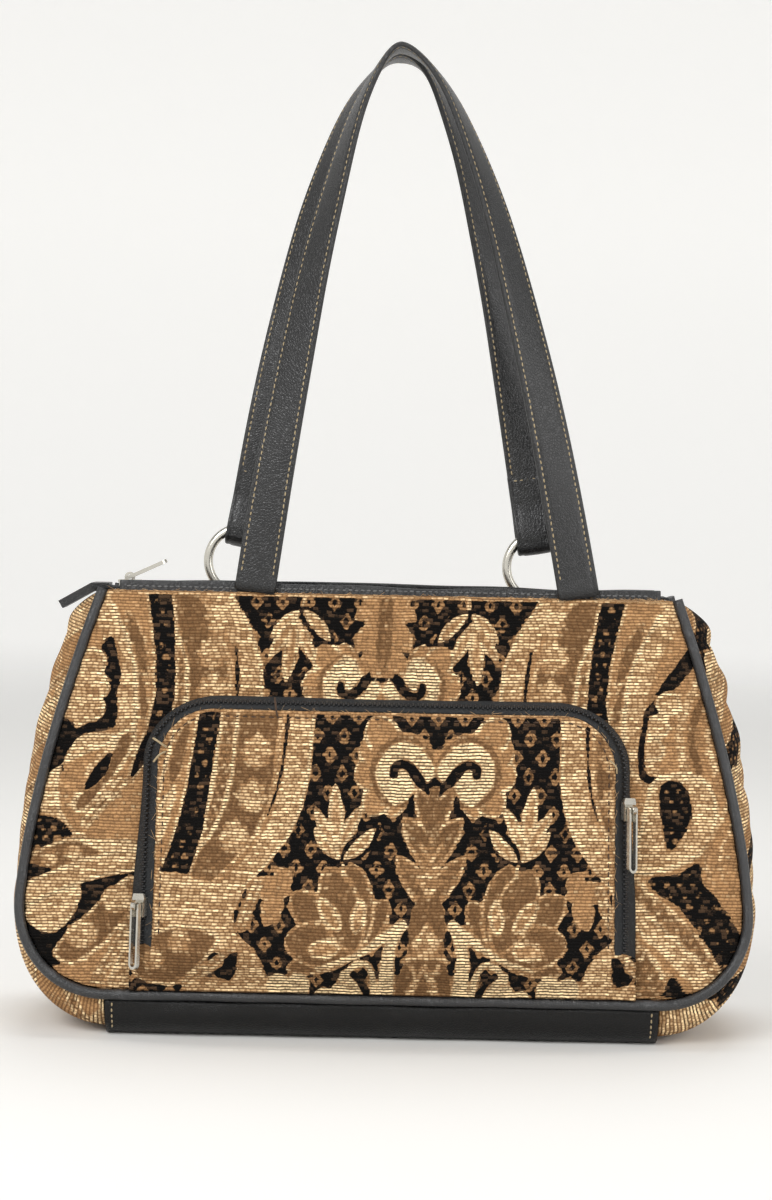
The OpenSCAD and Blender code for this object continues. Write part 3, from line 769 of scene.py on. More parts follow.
def medallion(loom, q, z, size=1.0):
    """A palmette: five pointed petals over a small oval, gold on brown."""
    petals = [((0, 9.5), 6.4), ((-5.6, 6), 4.4), ((5.6, 6), 4.4), ((-8, 0.5), 4.2), ((8, 0.5), 4.2)]
    for (dq, dz), width in petals:
        loom.lay(loom.leaf((q, z - size), (q + dq * size, z + dz * size), width * size), "gold")
    loom.lay(loom.blob((q, z - 4.4 * size), 5.4 * size, 2.5 * size), "gold")


def spotted_stripe(loom, stripe):
    """The black stripe outside the border, with straw edges."""
    loom.lay(stripe - 1.2, "straw")
    loom.lay(stripe, "black")
    loom.speckle(stripe + 1.0, "soot", 5.4, 2.1)


def border(loom, edge, low, high, medallions):
    """The bands that run beside the lattice. edge gives the lattice's side as (z, q) places."""
    def at(a):
        return [(z, q + a) for z, q in edge]
    loom.lay(loom.between(at(0), at(90), low, high), "tan")
    loom.lay(loom.between(at(0), at(13), low, high), "gold")
    loom.lay(loom.between(at(0), at(1.2), low, high), "straw")
    loom.lay(loom.between(at(16.5), at(37), low, high), "brown")
    for q, z in medallions:
        medallion(loom, q, z)
    loom.lay(loom.between(at(14.6), at(17), low, high), "gold")
    strip = loom.between(at(37), at(45), low, high)
    loom.lay(strip, "brown")
    loom.speckle(strip, "gold", 3.2, 0.9)
    loom.lay(loom.between(at(35.8), at(37.8), low, high), "straw")
    loom.lay(loom.between(at(44.0), at(45.8), low, high), "straw")


print("motifs:", [motif.__name__ for motif in (sprig, lotus, scroll_lobes, medallion, border)])


# %% [markdown]
# The two designs put the motifs in their places. The pocket and the body are cut from the same cloth but
# not in register, so each has its own middle line. The sides carry the big swirls, which differ left and
# right.

# %% Garden of the middle field
def garden(loom):
    """Flowers, sprigs and the stem in the middle, in the lower part of a face."""
    leaves = (((9, 127), (1.5, 102), 9), ((14, 113), (0, 88), 12), ((16.3, 95), (1, 70), 11))
    for tip, root, width in leaves:
        loom.rimmed(loom.leaf(root, tip, width, 1.5), "umber", "gold", 1.6)
    loom.lay(loom.between([(0, 0)], [(20, 14.5), (36, 12.5), (50, 8.5), (70, 8), (76, 4)], 10, 76),
             "brown")
    loom.lay(loom.between([(0, 0)], [(60, 2.2)], 104, 127), "brown")
    for z in (96, 88, 80):
        loom.lay(loom.line([(0, z - 4), (5, z + 4)], 1.8), "gold")
    loom.lay(loom.patch((0, 64), (3, 60), (7, 55), (4, 50), (0, 49)), "gold")
    loom.lay(loom.line([(0, 48.5), (6, 48.5), (10.5, 46.5)], 2.6), "gold")
    loom.lay(loom.line([(0, 44), (3, 38), (6.5, 44)], 2.6, 0.8), "gold")
    loom.lay(loom.line([(3.5, 36), (6, 28), (8, 20)], 3.6, 1.2), "gold")
    lotus(loom, 33.2, 50.5)
    sprig(loom, 41.4, 92.5)
    three = np.minimum.reduce([loom.leaf((64, 77), (87, 79.5), 11), loom.leaf((70, 78), (76, 61), 10),
                               loom.leaf((66, 78), (72, 88), 9)])
    loom.rimmed(three, "tan", "gold", 0.8)
    loom.lay(loom.line([(38.5, 36), (34, 43), (28, 45), (24.2, 38), (23, 24)], 3.2), "straw")
    loom.lay(loom.line([(38, 39), (33, 32), (27.5, 20)], 3.6, 1.5), "straw")
    loom.lay(loom.line([(51, 41.5), (33, 48.5), (23.4, 54.5), (12, 63)], 1.6, 3.4), "straw")
    loom.lay(loom.line([(13, 61), (17, 52), (17.6, 38), (17.5, 16)], 4.4, 2.0), "straw")
    for q, z, wide, high in ((59, 31, 5.6, 8), (68.5, 31, 5.6, 7.6), (63.5, 24, 9.6, 8), (39, 27, 5, 7),
                             (47, 25, 4.8, 6), (43.5, 21, 8.5, 6)):
        loom.lay(loom.blob((q, z), wide, high), "straw")


def pocket_design(x, z):
    loom = Loom(x, z, POCKET_AXIS, "black")
    loom.lattice()
    scroll_lobes(loom, 15, 133)
    garden(loom)
    edge = [(166, 58.5), (130, 59.5), (116, 62), (103, 67), (89, 77), (80, 86), (66, 92), (20, 80)]
    border(loom, edge, 58, 170, [(85, 141), (86, 120), (93, 101)])
    loom.lay(loom.line([(71, 168), (72, 142), (74, 126), (78, 112)], 1.9, 0.4), "black")
    stripe_in = [(165, 103), (121, 107), (105, 108.5), (89, 112), (80, 115)]
    stripe_out = [(165, 113), (121, 117.5), (105, 120.5), (89, 125.5), (80, 128)]
    stripe = loom.between(stripe_in, stripe_out, 81, 170)
    spotted_stripe(loom, stripe)
    loom.rimmed(loom.leaf((118, 156), (125, 122), 9, 1.0), "brown", "gold", 1.2)
    loom.rimmed(loom.leaf((123, 124), (132, 92), 7.5, 1.0), "gold")
    loom.lay(loom.line([(124, 158), (129, 130), (134, 100)], 1.8), "straw")
    loom.lay(loom.patch((86, 84), (100, 80), (126, 84), (140, 70), (120, 58), (104, 50), (92, 45.5),
                        (88.5, 40), (91, 34), (100, 34.5), (112, 31), (116, 16), (77, 16), (75, 38),
                        (80, 49.6), (90, 58), (91, 68)), "gold")
    loom.beads([(80.5, 80), (83.5, 72), (87, 61)])
    loom.rimmed(loom.patch((97, 55), (112, 60), (128, 57), (140, 50), (136, 34), (118, 30), (108, 38)),
                "brown")
    for q, z in ((116, 53), (128, 43)):
        medallion(loom, q, z, 0.7)
    loom.beads([(91, 48), (100, 41.5), (112, 32)])
    loom.lay(loom.leaf((88.5, 49), (92, 33), 6.5, 1.5), "black")
    return loom.dye


# %% [markdown]
# Beside the middle field, the swirls sweep down to both lower corners. What the sides share is drawn once
# for both. The rest is drawn for one side at a time, with the other one masked.

# %% What both sides share
def swirls(loom):
    """What the two sides share: leaves beside the stripe and the long band that sweeps down."""
    loom.lay(loom.between([(0, 108)], [(0, 300)], 0, 230), "tan")
    leaves = (((113, 172), (126, 206), 10), ((112, 150), (119, 180), 8), ((117, 134), (121, 158), 6))
    for root, tip, width in leaves:
        loom.rimmed(loom.leaf(root, tip, width), "brown", "gold")
    loom.lay(loom.line([(142, 214), (131, 194), (124, 172), (122, 156), (124, 140), (134, 128)], 12),
             "gold")
    loom.lay(loom.line([(133, 208), (121.5, 185), (118.2, 163), (118, 146)], 1.6), "straw")


# %% [markdown]
# The right side has a row of scales, a big gold swirl round a spotted seed, and bands that run down to
# the corner. Each is a patch or a line, laid from the back to the front.

# %% Right side of a face
def right_side(loom):
    loom.only(1)
    for out, ink, width in ((30, "brown", 5), (22, "gold", 4), (14, "brown", 4), (8, "gold", 5)):
        loom.lay(loom.line([(152 + out, 186), (141 + out, 168), (137 + out, 150), (141 + out, 134)],
                           width), ink)
    loom.lay(loom.patch((151, 196), (140, 182), (130, 166), (127, 158), (134, 157), (137, 167),
                        (146, 178), (155, 190)), "black")
    for centre in ((139, 166), (134, 155), (132, 144)):
        loom.rimmed(loom.blob(centre, 6.5, 6), "gold")
    loom.lay(loom.line([(128.5, 158), (126.8, 146), (127.5, 134), (131, 130), (140, 129)], 2.6, 1.6),
             "black")
    loom.rimmed(loom.patch((132, 128), (142, 133), (156, 132), (164, 122), (164, 106), (156, 93),
                           (135, 85), (124, 88), (128, 108)), "gold", "straw", 1.6)
    seed = loom.patch((138, 112), (136.5, 126), (143.4, 129.5), (150, 125), (152.6, 114), (149, 104),
                      (142, 96))
    loom.spotted(seed, 4.6, 1.8)
    for shift in (0, 7):
        loom.lay(loom.line([(170 + shift, 140), (169 + shift, 118), (160 + shift, 96), (162 + shift, 84)],
                           2.2), "gold")
    field = loom.patch((134.8, 84.5), (148, 86), (157, 92), (159, 82), (165, 76), (174, 64), (183, 50),
                       (186, 34), (173, 36), (158, 58), (148, 70), (140, 75), (134, 79))
    loom.spotted(field, 5.4, 2.1)
    strip = loom.line([(124, 80), (134, 71), (148, 59.5), (159, 48), (170, 30)], 10)
    loom.rimmed(strip, "brown")
    loom.speckle(strip, "gold", 4.2, 1.2)
    loom.rimmed(loom.line([(120, 74), (132.7, 61.5), (147, 49.7), (162, 34.4), (168, 20)], 10), "gold")
    leaf = loom.patch((124, 56), (132, 52), (142, 40), (146, 26), (132, 22), (124, 40))
    loom.rimmed(leaf, "brown")
    loom.speckle(leaf, "straw", 4.6, 1.0)
    loom.lay(loom.patch((146, 38), (154, 30), (158, 22), (144, 20), (142, 28)), "black")
    loom.only()


# %% [markdown]
# The left side has a scalloped leaf, a long gold curl under it and broad leaves in the corner. It could
# mirror the right side, but the cloth is not cut in its middle, so the two sides differ.

# %% Left side of a face
def left_side(loom):
    loom.only(-1)
    loom.lay(loom.patch((131, 192), (136, 190), (140, 180), (150, 168), (158, 150), (150, 146),
                        (141, 147), (132, 150), (126.5, 154), (127.5, 165), (126.5, 176)), "black")
    scallops = np.minimum.reduce([loom.blob(c, 7.6, 7.6) for c in ((141, 180), (138.6, 169), (140, 159),
                                                                   (147, 156))])
    loom.rimmed(np.minimum(scallops, loom.patch((138, 184), (150, 176), (158, 158), (148, 152),
                                                (138, 158))), "gold")
    loom.lay(loom.patch((146, 146), (156, 152), (170, 120), (174, 96), (164, 96), (158, 116)), "black")
    loom.lay(loom.line([(129, 151), (136, 149.5), (142.5, 146.5), (148, 141.5), (153, 135), (156, 126)],
                       4.4, 2.0), "black")
    loom.rimmed(loom.patch((126, 143), (134, 147), (145, 144), (151, 132), (152, 116), (146, 104),
                           (134, 97), (116, 97), (104, 94), (104, 86), (122, 88), (138, 92), (146, 98),
                           (162, 106), (160, 126)), "gold")
    loom.rimmed(loom.line([(121, 144), (127, 132), (134, 122), (141, 113)], 9), "brown")
    seed = loom.leaf((128, 138), (140, 119), 6, -0.8)
    loom.lay(seed, "black")
    loom.beads([(122, 124), (130, 114), (138, 104)], 3.4)
    field = loom.patch((164, 107), (150, 105), (144, 97.5), (152, 93), (166, 89), (176, 98))
    loom.spotted(field, 4.6, 1.8)
    loom.rimmed(loom.patch((126, 89), (136, 95), (146, 96.5), (158, 92), (176, 82), (160, 79), (142, 82)),
                "brown")
    for q, z in ((154, 87), (143, 90)):
        loom.lay(loom.blob((q, z), 4, 3.4), "gold")
    loom.lay(loom.patch((104, 84), (120, 72), (128, 52), (150, 36), (180, 36), (178, 84), (150, 82),
                        (126, 88)), "black")
    loom.rimmed(loom.line([(108, 88), (126, 85), (140, 80.5), (160, 72), (176, 64)], 11), "gold")
    loom.rimmed(loom.patch((138, 74), (152, 71), (164, 62), (158, 54), (148, 53), (140, 62)), "gold")
    leaf = loom.patch((112, 79), (119, 77.5), (134, 62), (149, 44), (138, 38), (122, 50), (112, 66))
    loom.rimmed(leaf, "brown")
    for q, z in ((120, 69), (136, 52)):
        loom.lay(loom.blob((q, z), 7.5, 6.5), "gold")
    loom.beads([(113, 60), (119, 47), (127, 32)])
    loom.rimmed(loom.patch((104, 70), (110, 62), (116, 46), (122, 30), (122, 18), (100, 18), (100, 50)),
                "gold")
    loom.only()


# %% [markdown]
# A face puts all of these together over the lattice. The gussets are cut from the swirls, so broad
# slanting bands are enough for them.

# %% Designs of the faces and the gussets
def panel_design(x, z):
    loom = Loom(x, z, BODY_AXIS, "black")
    loom.lattice()
    garden(loom)
    scroll_lobes(loom, 15, 171.3, -1)
    sprig(loom, 40.7, 207.5, -1)
    bell = loom.between([(0, 0)], [(176, 5), (183, 8), (196, 8.5), (214, 11)], 176, 216)
    leaves = (((5, 210), (15, 203.5), 7), ((4, 204), (12.6, 188), 9), ((3, 192), (10.6, 176.5), 8))
    for root, tip, width in leaves:
        bell = np.minimum(bell, loom.leaf(root, tip, width))
    loom.rimmed(bell, "tan", "gold", 0.9)
    loom.lay(loom.between([(0, 0)], [(178, 1), (186, 4), (208, 3.4)], 178, 214), "brown")
    edge = [(214, 75), (198, 64.5), (182, 58.3), (165, 56.7), (120, 59), (100, 70), (80, 84), (20, 92)]
    border(loom, edge, 0, 230, [(80, 203), (82.6, 186), (81.5, 168), (81, 146), (86, 126)])
    loom.lay(loom.line([(71.5, 189), (69.5, 170), (70, 150)], 1.9), "black")
    swirls(loom)
    right_side(loom)
    left_side(loom)
    stripe_in = [(214, 104.5), (198, 102), (183, 100.5), (165, 99.5), (149, 102), (138, 107.5),
                 (132, 112.5), (125, 117.6)]
    stripe_out = [(214, 116), (198, 112.5), (183, 110), (165, 108.7), (149, 111.5), (138, 115.5),
                  (132, 117.2), (125, 118.2)]
    stripe = loom.between(stripe_in, stripe_out, 125, 230)
    spotted_stripe(loom, stripe)
    return loom.dye


def gusset_design(dark):
    """The side strips are cut from the swirls: broad bands that cross them at a slant."""
    def design(x, z):
        loom = Loom(x, z, 0, "tan")
        for i in range(6):
            rise = 56 * i - 30
            loom.rimmed(loom.line([(-10, rise - 34), (50, rise), (120, rise + 30)], 20), "gold")
            patch = loom.line([(-10, rise - 10), (50, rise + 22), (120, rise + 56)], 6 + 13 * dark)
            loom.rimmed(patch, "black" if dark else "brown")
            loom.speckle(patch, "soot" if dark else "gold", 4.8, 1.8)
            for q in (22, 40, 58, 76, 94):
                loom.rimmed(loom.blob((q, rise + 0.5 * q - 16), 9, 7.5), "gold")
            loom.lay(loom.line([(-10, rise - 22), (50, rise + 10), (120, rise + 42)], 1.8), "straw")
            loom.lay(np.abs(loom.blob((72, rise + 46), 4.2, 4.2)) - 0.7, "straw")
        return loom.dye
    return design


# %% [markdown]
# The two faces are sheets of cloth, sewn into the piping and drawn in a little at every stitch. A flat
# grid is laid over the outline of a face and each point goes to its place on the leaning, swelling
# surface. Puckers fade out a finger's width from the seam. Solidify then gives the cloth its two
# millimetres.

# %% Front and back faces
FACE_LOW = SKIRT_H + CLEAR
POCKET_W = node_box("front_pocket")[1][0]
POCKET_DROP = 2.0
TOP_HEM = 2.8
FACE_GRID = (290, 158)
POCKET_TOP = node_box("front_pocket")[1][2] - POCKET_DROP


def ripple(a, b, seed):
    """A gentle unevenness, between about -1 and 1, from a few crossing waves."""
    total = np.zeros(len(a))
    for k in range(1, 5):
        turn = seed * 1.7 + k * 2.1
        total += np.sin((a * np.cos(turn) + b * np.sin(turn)) * 0.023 * k + turn * 3) / k
    return total / 1.6


def seam_pucker(gap, run, seed):
    """Small gathers that die away with the distance from a seam."""
    return np.exp(-np.maximum(gap, 0) / 6.5) * np.sin(run * 0.62 + 1.4 * np.sin(run * 0.11 + seed))


def face_place(side, seed):
    def place(u, v):
        z = mix(FACE_LOW, BODY_H, v)
        edge = half_width(z, CLEAR)
        x = side * (2 * u - 1) * edge
        clear_of_pocket = np.maximum(ease(POCKET_W + 12, POCKET_W + 26, np.abs(x)),
                                     ease(POCKET_TOP + 12, 190, z))
        loose = np.where(side > 0, clear_of_pocket, 1.0)
        soft = 0.9 * ripple(x, z, seed) * (1 - ease(BODY_H - 25, BODY_H, z))
        soft += 0.55 * seam_pucker(edge - np.abs(x), z, seed)
        soft += 0.45 * seam_pucker(z - FACE_LOW, x, seed + 1)
        soft -= 0.5 * np.exp(-((BODY_H - z - TOP_HEM) / 0.9) ** 2)
        y = face_y(x, z) + np.where(z > FACE_LOW, soft * loose, 0)
        return np.column_stack((x, side * y, z))
    return place


def weave(piece, along, up, seed, design, edge_highlight=None):
    """Store a cloth's threads and design on its points. The last argument is 1 where a folded edge is
    painted paler, as a highlight on the fold.
    """
    threads = np.column_stack((along, up, np.full(len(along), float(seed))))
    paint(piece, "thread", "FLOAT_VECTOR", threads)
    dye = design(along, up)
    if edge_highlight is not None:
        # Painted highlight: along a folded edge the dye goes over to a pale gold.
        dye = mix(dye, np.array(INKS["gold"]) * 0.6, edge_highlight[:, None])
    paint(piece, "dye", "FLOAT_COLOR", np.column_stack((dye, np.ones(len(along)))))


for name, side, seed in (("front_panel", 1, 1), ("back_panel", -1, 2)):
    face, u, v = skin(name + "_cloth", *FACE_GRID, face_place(side, seed), CLOTH_T)
    points = face_place(side, seed)(u, v)
    # The folded top edge is painted paler, a painted highlight on the fold.
    fold = ease(BODY_H - 2.2, BODY_H - 1.2, points[:, 2])
    weave(face, side * points[:, 0], points[:, 2], seed, panel_design, fold)
    dress(face, TAPESTRY, "bag", "tapestry", name)
print("face cloth points:", len(u))

# %% [markdown]
# A gusset is the strip that joins the two faces round the side. It is laid out along the edge of a face:
# the distance along the edge goes up the grid and the depth of the bag goes across it. Between the
# pipings it bows out, and where the bag narrows the spare cloth falls into soft folds, more on the
# right-hand side.

# %% Gussets
GUSSET_TOP = node_box("right_gusset")[1][2]
GUSSET_BULGE = 12.0
GUSSET_WAIST = 7.0
GUSSET_EASE = 1.03
OFF_TABLE = 0.15
GUSSET_GRID = (84, 210)
CROWN = BODY_H - 20
CORNER_RUN = CORNER_R * math.pi / 2


def edge_line(run, length):
    """Points and outward directions along the side edge of a face, from the base upwards."""
    a = np.clip(run / CORNER_RUN, 0, 1) * math.pi / 2
    z_side = mix(CORNER_TOP, GUSSET_TOP, np.clip((run - CORNER_RUN) / (length - CORNER_RUN), 0, 1))
    on_side = run > CORNER_RUN
    x = np.where(on_side, side_x(z_side), HALF_RUN + CORNER_R * np.sin(a))
    z = np.where(on_side, z_side, CORNER_TOP - CORNER_R * np.cos(a))
    slope = side_x(z_side + 0.5) - side_x(z_side - 0.5)
    nx = np.where(on_side, 1 / np.hypot(1, slope), np.sin(a))
    nz = np.where(on_side, -slope / np.hypot(1, slope), -np.cos(a))
    return x, z, nx, nz


def gusset_place(side, crumple):
    length = CORNER_RUN + (GUSSET_TOP - CORNER_TOP) * GUSSET_EASE

    def place(u, v):
        run = v * length
        across = u if side > 0 else 1 - u
        x, z, nx, nz = edge_line(run, length)
        turned = ease(0, CORNER_RUN, run)
        power = 2 / mix(3.2, 2.0, turned)
        upper = mix(GUSSET_WAIST, GUSSET_BULGE, ease(CORNER_TOP, mix(CORNER_TOP, BODY_H, 0.6), z))
        upper = upper * (1 - (np.maximum(0, z - CROWN) / (BODY_H - CROWN)) ** 2)
        bow = np.where(run <= CORNER_RUN, mix(SKIRT_H, GUSSET_WAIST, turned), upper)
        angle = mix(-math.pi / 2, math.pi / 2, across)
        y = (lean(z) - CLEAR) * np.sign(angle) * np.abs(np.sin(angle)) ** power
        arch = np.maximum(np.cos(angle), 0) ** power
        fold = np.abs(np.sin(run * 0.085 + y * 0.05 + 1.2 * np.sin(run * 0.03))) - 0.6
        crease = np.sin(run * 0.21 - y * 0.12) * np.sin(run * 0.055 + 1.0)
        loose = ease(40, 90, run) * (1 - ease(length - 22, length - 4, run))
        out = bow * arch + crumple * loose * arch * (3.2 * fold + 1.1 * crease)
        out += 0.5 * arch * ripple(run, y * 3, 5 + side)
        return np.column_stack((side * (x + nx * out), y, np.maximum(z + nz * out, OFF_TABLE)))
    return place, length


for name, side, crumple, dark, seed in (("right_gusset", 1, 1.0, 1, 3), ("left_gusset", -1, 0.45, 0, 4)):
    place, length = gusset_place(side, crumple)
    strip, u, v = skin(name + "_cloth", *GUSSET_GRID, place, CLOTH_T)
    weave(strip, (u - 0.5) * BASE_DEPTH + 60, v * length, seed, gusset_design(dark))
    dress(strip, TAPESTRY, "bag", "tapestry", name)
print("gusset length:", round(length))

# %% [markdown]
# The pocket is a second layer of the same cloth with round upper corners. Its free edge is turned under
# and stitched, so the rim rolls back and a shallow groove runs beside it.

# %% Front pocket
POCKET_LOW = FACE_LOW
POCKET_R = 26.0
POCKET_RISE = 11.0
HEM = 3.2
ZIP_END = 46.0
TAPE_SIDE = 11.0
POCKET_GRID = (262, 168)


def pocket_rise(z):
    base = CLOTH_T + SEAM
    return (POCKET_RISE - base) * ease(SKIRT_H, SKIRT_H + 25, z) + base


def pocket_half(z):
    over = np.clip(z - (POCKET_TOP - POCKET_R), 0, POCKET_R)
    return POCKET_W - POCKET_R + np.sqrt(np.maximum(0, POCKET_R ** 2 - over ** 2))


def pocket_rim(x, z):
    """Distance in from the free edge of the pocket."""
    cx, cz = POCKET_W - POCKET_R, POCKET_TOP - POCKET_R
    dx, dz = np.abs(x) - cx, z - cz
    corner = POCKET_R - np.hypot(np.maximum(dx, 0), np.maximum(dz, 0))
    return np.where((dx > 0) & (dz > 0), corner, np.minimum(POCKET_W - np.abs(x), POCKET_TOP - z))


def pocket_place(u, v):
    z = mix(POCKET_LOW, POCKET_TOP, 1 - (1 - v) ** 1.12)
    sewn = 1 - ease(ZIP_END - 3, ZIP_END + 3, z)
    x = (2 * u - 1) * (pocket_half(z) + TAPE_SIDE * sewn)
    rim = np.maximum(pocket_rim(x, z), 0)
    rolled = 1.3 * np.maximum(0, 1 - rim / 2.2) ** 2
    groove = 0.6 * np.exp(-((rim - HEM) / 0.8) ** 2)
    soft = 0.55 * ripple(x, z, 9) * ease(0, 30, rim) + 0.3 * seam_pucker(rim, x + z, 4)
    soft = soft * ease(POCKET_LOW, POCKET_LOW + 20, z)
    soft += 0.3 * seam_pucker(z - POCKET_LOW, x, 6) * (z > POCKET_LOW)
    beyond = np.clip((np.abs(x) - POCKET_W) / TAPE_SIDE, 0, 1)
    rise = mix(pocket_rise(z), CLOTH_T + SEAM + 1.4, beyond)
    return np.column_stack((x, face_y(x, z) - rise + (rolled + groove) * (1 - sewn) - soft, z))


pocket, u, v = skin("front_pocket_cloth", *POCKET_GRID, pocket_place, CLOTH_T)
points = pocket_place(u, v)
from_rim = pocket_rim(points[:, 0], points[:, 2])
# The rolled rim above the zip is painted paler: a painted highlight on the roll.
paler = (1 - ease(0.4, 1.8, from_rim)) * ease(ZIP_END, ZIP_END + 8, points[:, 2])
weave(pocket, points[:, 0], points[:, 2], 7, pocket_design, paler)
dress(pocket, TAPESTRY, "bag", "tapestry", "front_pocket")
print("pocket cloth points:", len(u))

# %% [markdown]
# Piping is a cord wrapped in a strip of leather and caught in the seam. A tube along the edge of each
# face makes it. The tube helper carries a flat ring of points along a path and keeps it upright by a
# given direction, so the same helper also serves the straps, with a wide flat ring.

# %% Tubes along a path
def unit(vectors):
    return vectors / np.maximum(np.linalg.norm(vectors, axis=-1, keepdims=True), 1e-9)


def tangents(path):
    return unit(np.gradient(path, axis=0))


def tube(name, path, upright, ring, around):
    """A closed tube. ring(angle, share) gives sideways and upright offsets at a share of the path."""
    forward = tangents(path)
    sideways = unit(np.cross(forward, upright))
    out = np.cross(sideways, forward)
    last = len(path) - 1

    def place(u, v):
        i = np.rint(v * last).astype(int)
        a, b = ring(u * 2 * math.pi, v)
        return path[i] + a[:, None] * sideways[i] + b[:, None] * out[i]
    piece, _, _ = skin(name, around, last, place, closed=True, capped=True)
    return piece


def round_ring(radius):
    return lambda angle, share: (radius * np.cos(angle), radius * np.sin(angle))


# %% [markdown]
# The piping follows the edge of a face, from its top left down, along the base and up to its top right. A
# slow wave moves it a little, because a sewn edge is never quite straight.

# %% Piping
PIPING_TOP = piping_high[2] - 0.3
LEAN_ANGLE = math.atan(LEAN_SLOPE)


def face_outline(inset, top):
    """The edge of a face from its top left, down, along the base and up to its top right, as x and z."""
    up = np.linspace(0, 1, 70)[1:]
    z = mix(CORNER_TOP, top, up)
    a = np.linspace(0, math.pi / 2, 28)
    r = CORNER_R - inset
    right = np.vstack((np.column_stack((HALF_RUN + r * np.sin(a), CORNER_TOP - r * np.cos(a))),
                       np.column_stack((side_x(z) - inset, z))))
    run = np.column_stack((np.linspace(-HALF_RUN, HALF_RUN, 90)[1:-1], np.full(88, CORNER_TOP - r)))
    return np.vstack((right[::-1] * (-1, 1), run, right))


for name, side in (("front_piping", 1), ("back_piping", -1)):
    x, z = face_outline(0, PIPING_TOP).T
    wave = 0.35 * np.sin(x * 0.13 + side) * np.sin(z * 0.17 + 1) + 0.25 * np.sin(x * 0.041 + z * 0.06)
    path = np.column_stack((x, -side * (lean(z) + wave), z))
    facing_out = np.tile((0, -side * math.cos(LEAN_ANGLE), math.sin(LEAN_ANGLE)), (len(path), 1))
    roll = tube(name + "_roll", path, facing_out, round_ring(PIPING_R), 16)
    dress(roll, PIPING, "bag", "leather", name)
print("piping points along:", len(path))

# %% [markdown]
# The leather base is one sheet that runs under the bag and up to both pipings. Its section is followed
# from the back seam to the front seam, so the sheet can bend round the lower edges and be dented where it
# is pressed.

# %% Base
base_high = node_box("base_panel")[1]
BASE_HALF = base_high[0]
BASE_EDGE_R = 14.0
LEATHER_T = 1.6
BASE_GRID = (160, 64)


def base_place(u, v):
    x = (2 * u - 1) * BASE_HALF
    depth, height = base_high[1], base_high[2]
    wall = height - BASE_EDGE_R
    bend = BASE_EDGE_R * math.pi / 2
    flat = 2 * (depth - BASE_EDGE_R)
    run = v * (2 * wall + 2 * bend + flat)
    half_run = wall + bend + flat / 2
    s = half_run - np.abs(run - half_run)
    side = np.where(run < half_run, 1.0, -1.0)
    angle = np.clip((s - wall) / BASE_EDGE_R, 0, math.pi / 2)
    under = np.maximum(s - wall - bend, 0)
    y = depth - BASE_EDGE_R + BASE_EDGE_R * np.cos(angle) - under
    z = np.where(s < wall, height - s, BASE_EDGE_R - BASE_EDGE_R * np.sin(angle))
    standing = np.sin(np.clip(z / height, 0, 1) * math.pi)
    waves = 0.9 * ripple(x * 1.6, z * 3, 11) - 0.7 + 0.5 * np.sin(x * 0.09) * np.sin(x * 0.023 + 1)
    dent = standing * waves
    return np.column_stack((x, side * (y + np.minimum(dent, 0.4)), z))


base, _, _ = skin("base_leather", *BASE_GRID, base_place, LEATHER_T)
dress(base, BASE_HIDE, "bag", "leather", "base_panel")
print("base length:", round(2 * BASE_HALF))

# %% [markdown]
# A leather facing lines the mouth on each side and stands a few millimetres above the cloth, where the
# zip is sewn in. Handling has bent it, so its upper edge dips and rises a little along the bag. A grid
# from the inside of the mouth to that edge gives the sheet, and Solidify and a small Bevel finish it.

# %% Facings of the mouth
facing_low, facing_high = node_box("front_facing")
FACING_DIP = 1.7
FACING_T = 1.6
FACING_GRID = (120, 12)


def facing_y(z):
    return lean(z) - CLOTH_T - SEAM


def facing_top(x, side):
    slow = 0.5 + 0.5 * np.sin(x * 0.024 + 0.9 * side)
    quick = 0.7 + 0.3 * np.sin(x * 0.09)
    return facing_high[2] - FACING_DIP * slow * quick


def facing_place(side):
    def place(u, v):
        x = side * (2 * u - 1) * facing_high[0]
        z = mix(facing_low[2], facing_top(x, side), v)
        return np.column_stack((x, -side * facing_y(z), z))
    return place


for name, side in (("front_facing", 1), ("back_facing", -1)):
    facing, _, _ = skin(name + "_leather", *FACING_GRID, facing_place(side), FACING_T)
    rounding = facing.modifiers.new("rounding", "BEVEL")
    rounding.width = 0.5 * MM
    rounding.segments = 2
    dress(facing, LEATHER, "bag", "leather", name)
print("facing height:", round(facing_high[2] - facing_low[2]))

# %% [markdown]
# Each strap is a long leather ribbon: two layers sewn together along the edges, a little padded between
# the seams. From the top edge of the bag it rises flat to the front and turns until it lies edge-on at
# the top, as a strap does over a shoulder. The rear strap goes on round each ring and is sewn to itself.

# %% Section and line of a strap
STRAP_W = 20.0
STRAP_T = 3.0
STRAP_TOP = node_box("front_strap")[1][2] - STRAP_T / 2
STRAP_TOP_Y = (STRAP_W + 2.0) / 2
STRAP_SHIFT = 13.0
STRAP_POWER = 1.82
STRAP_AROUND = 44
STRAP_STEP = 2.4
STITCH_IN = 2.3
FRONT_FOOT = 79.0
WIRE_R = 2.3
ring_low, ring_high = node_box("ring_right")
RING_R = (ring_high - ring_low)[2] / 2 - WIRE_R


def strap_ring(angle, share):
    """Section of a strap: flat with round edges, and a groove along each seam."""
    a = np.sign(np.cos(angle)) * np.abs(np.cos(angle)) ** 0.35 * STRAP_W / 2
    b = np.sign(np.sin(angle)) * np.abs(np.sin(angle)) ** 0.55 * STRAP_T / 2
    groove = np.exp(-((np.abs(a) - (STRAP_W / 2 - STITCH_IN)) / 0.7) ** 2)
    pad = 1 + 0.12 * np.maximum(0, 1 - (a / 7) ** 2) - 0.22 * groove
    return a, b * pad


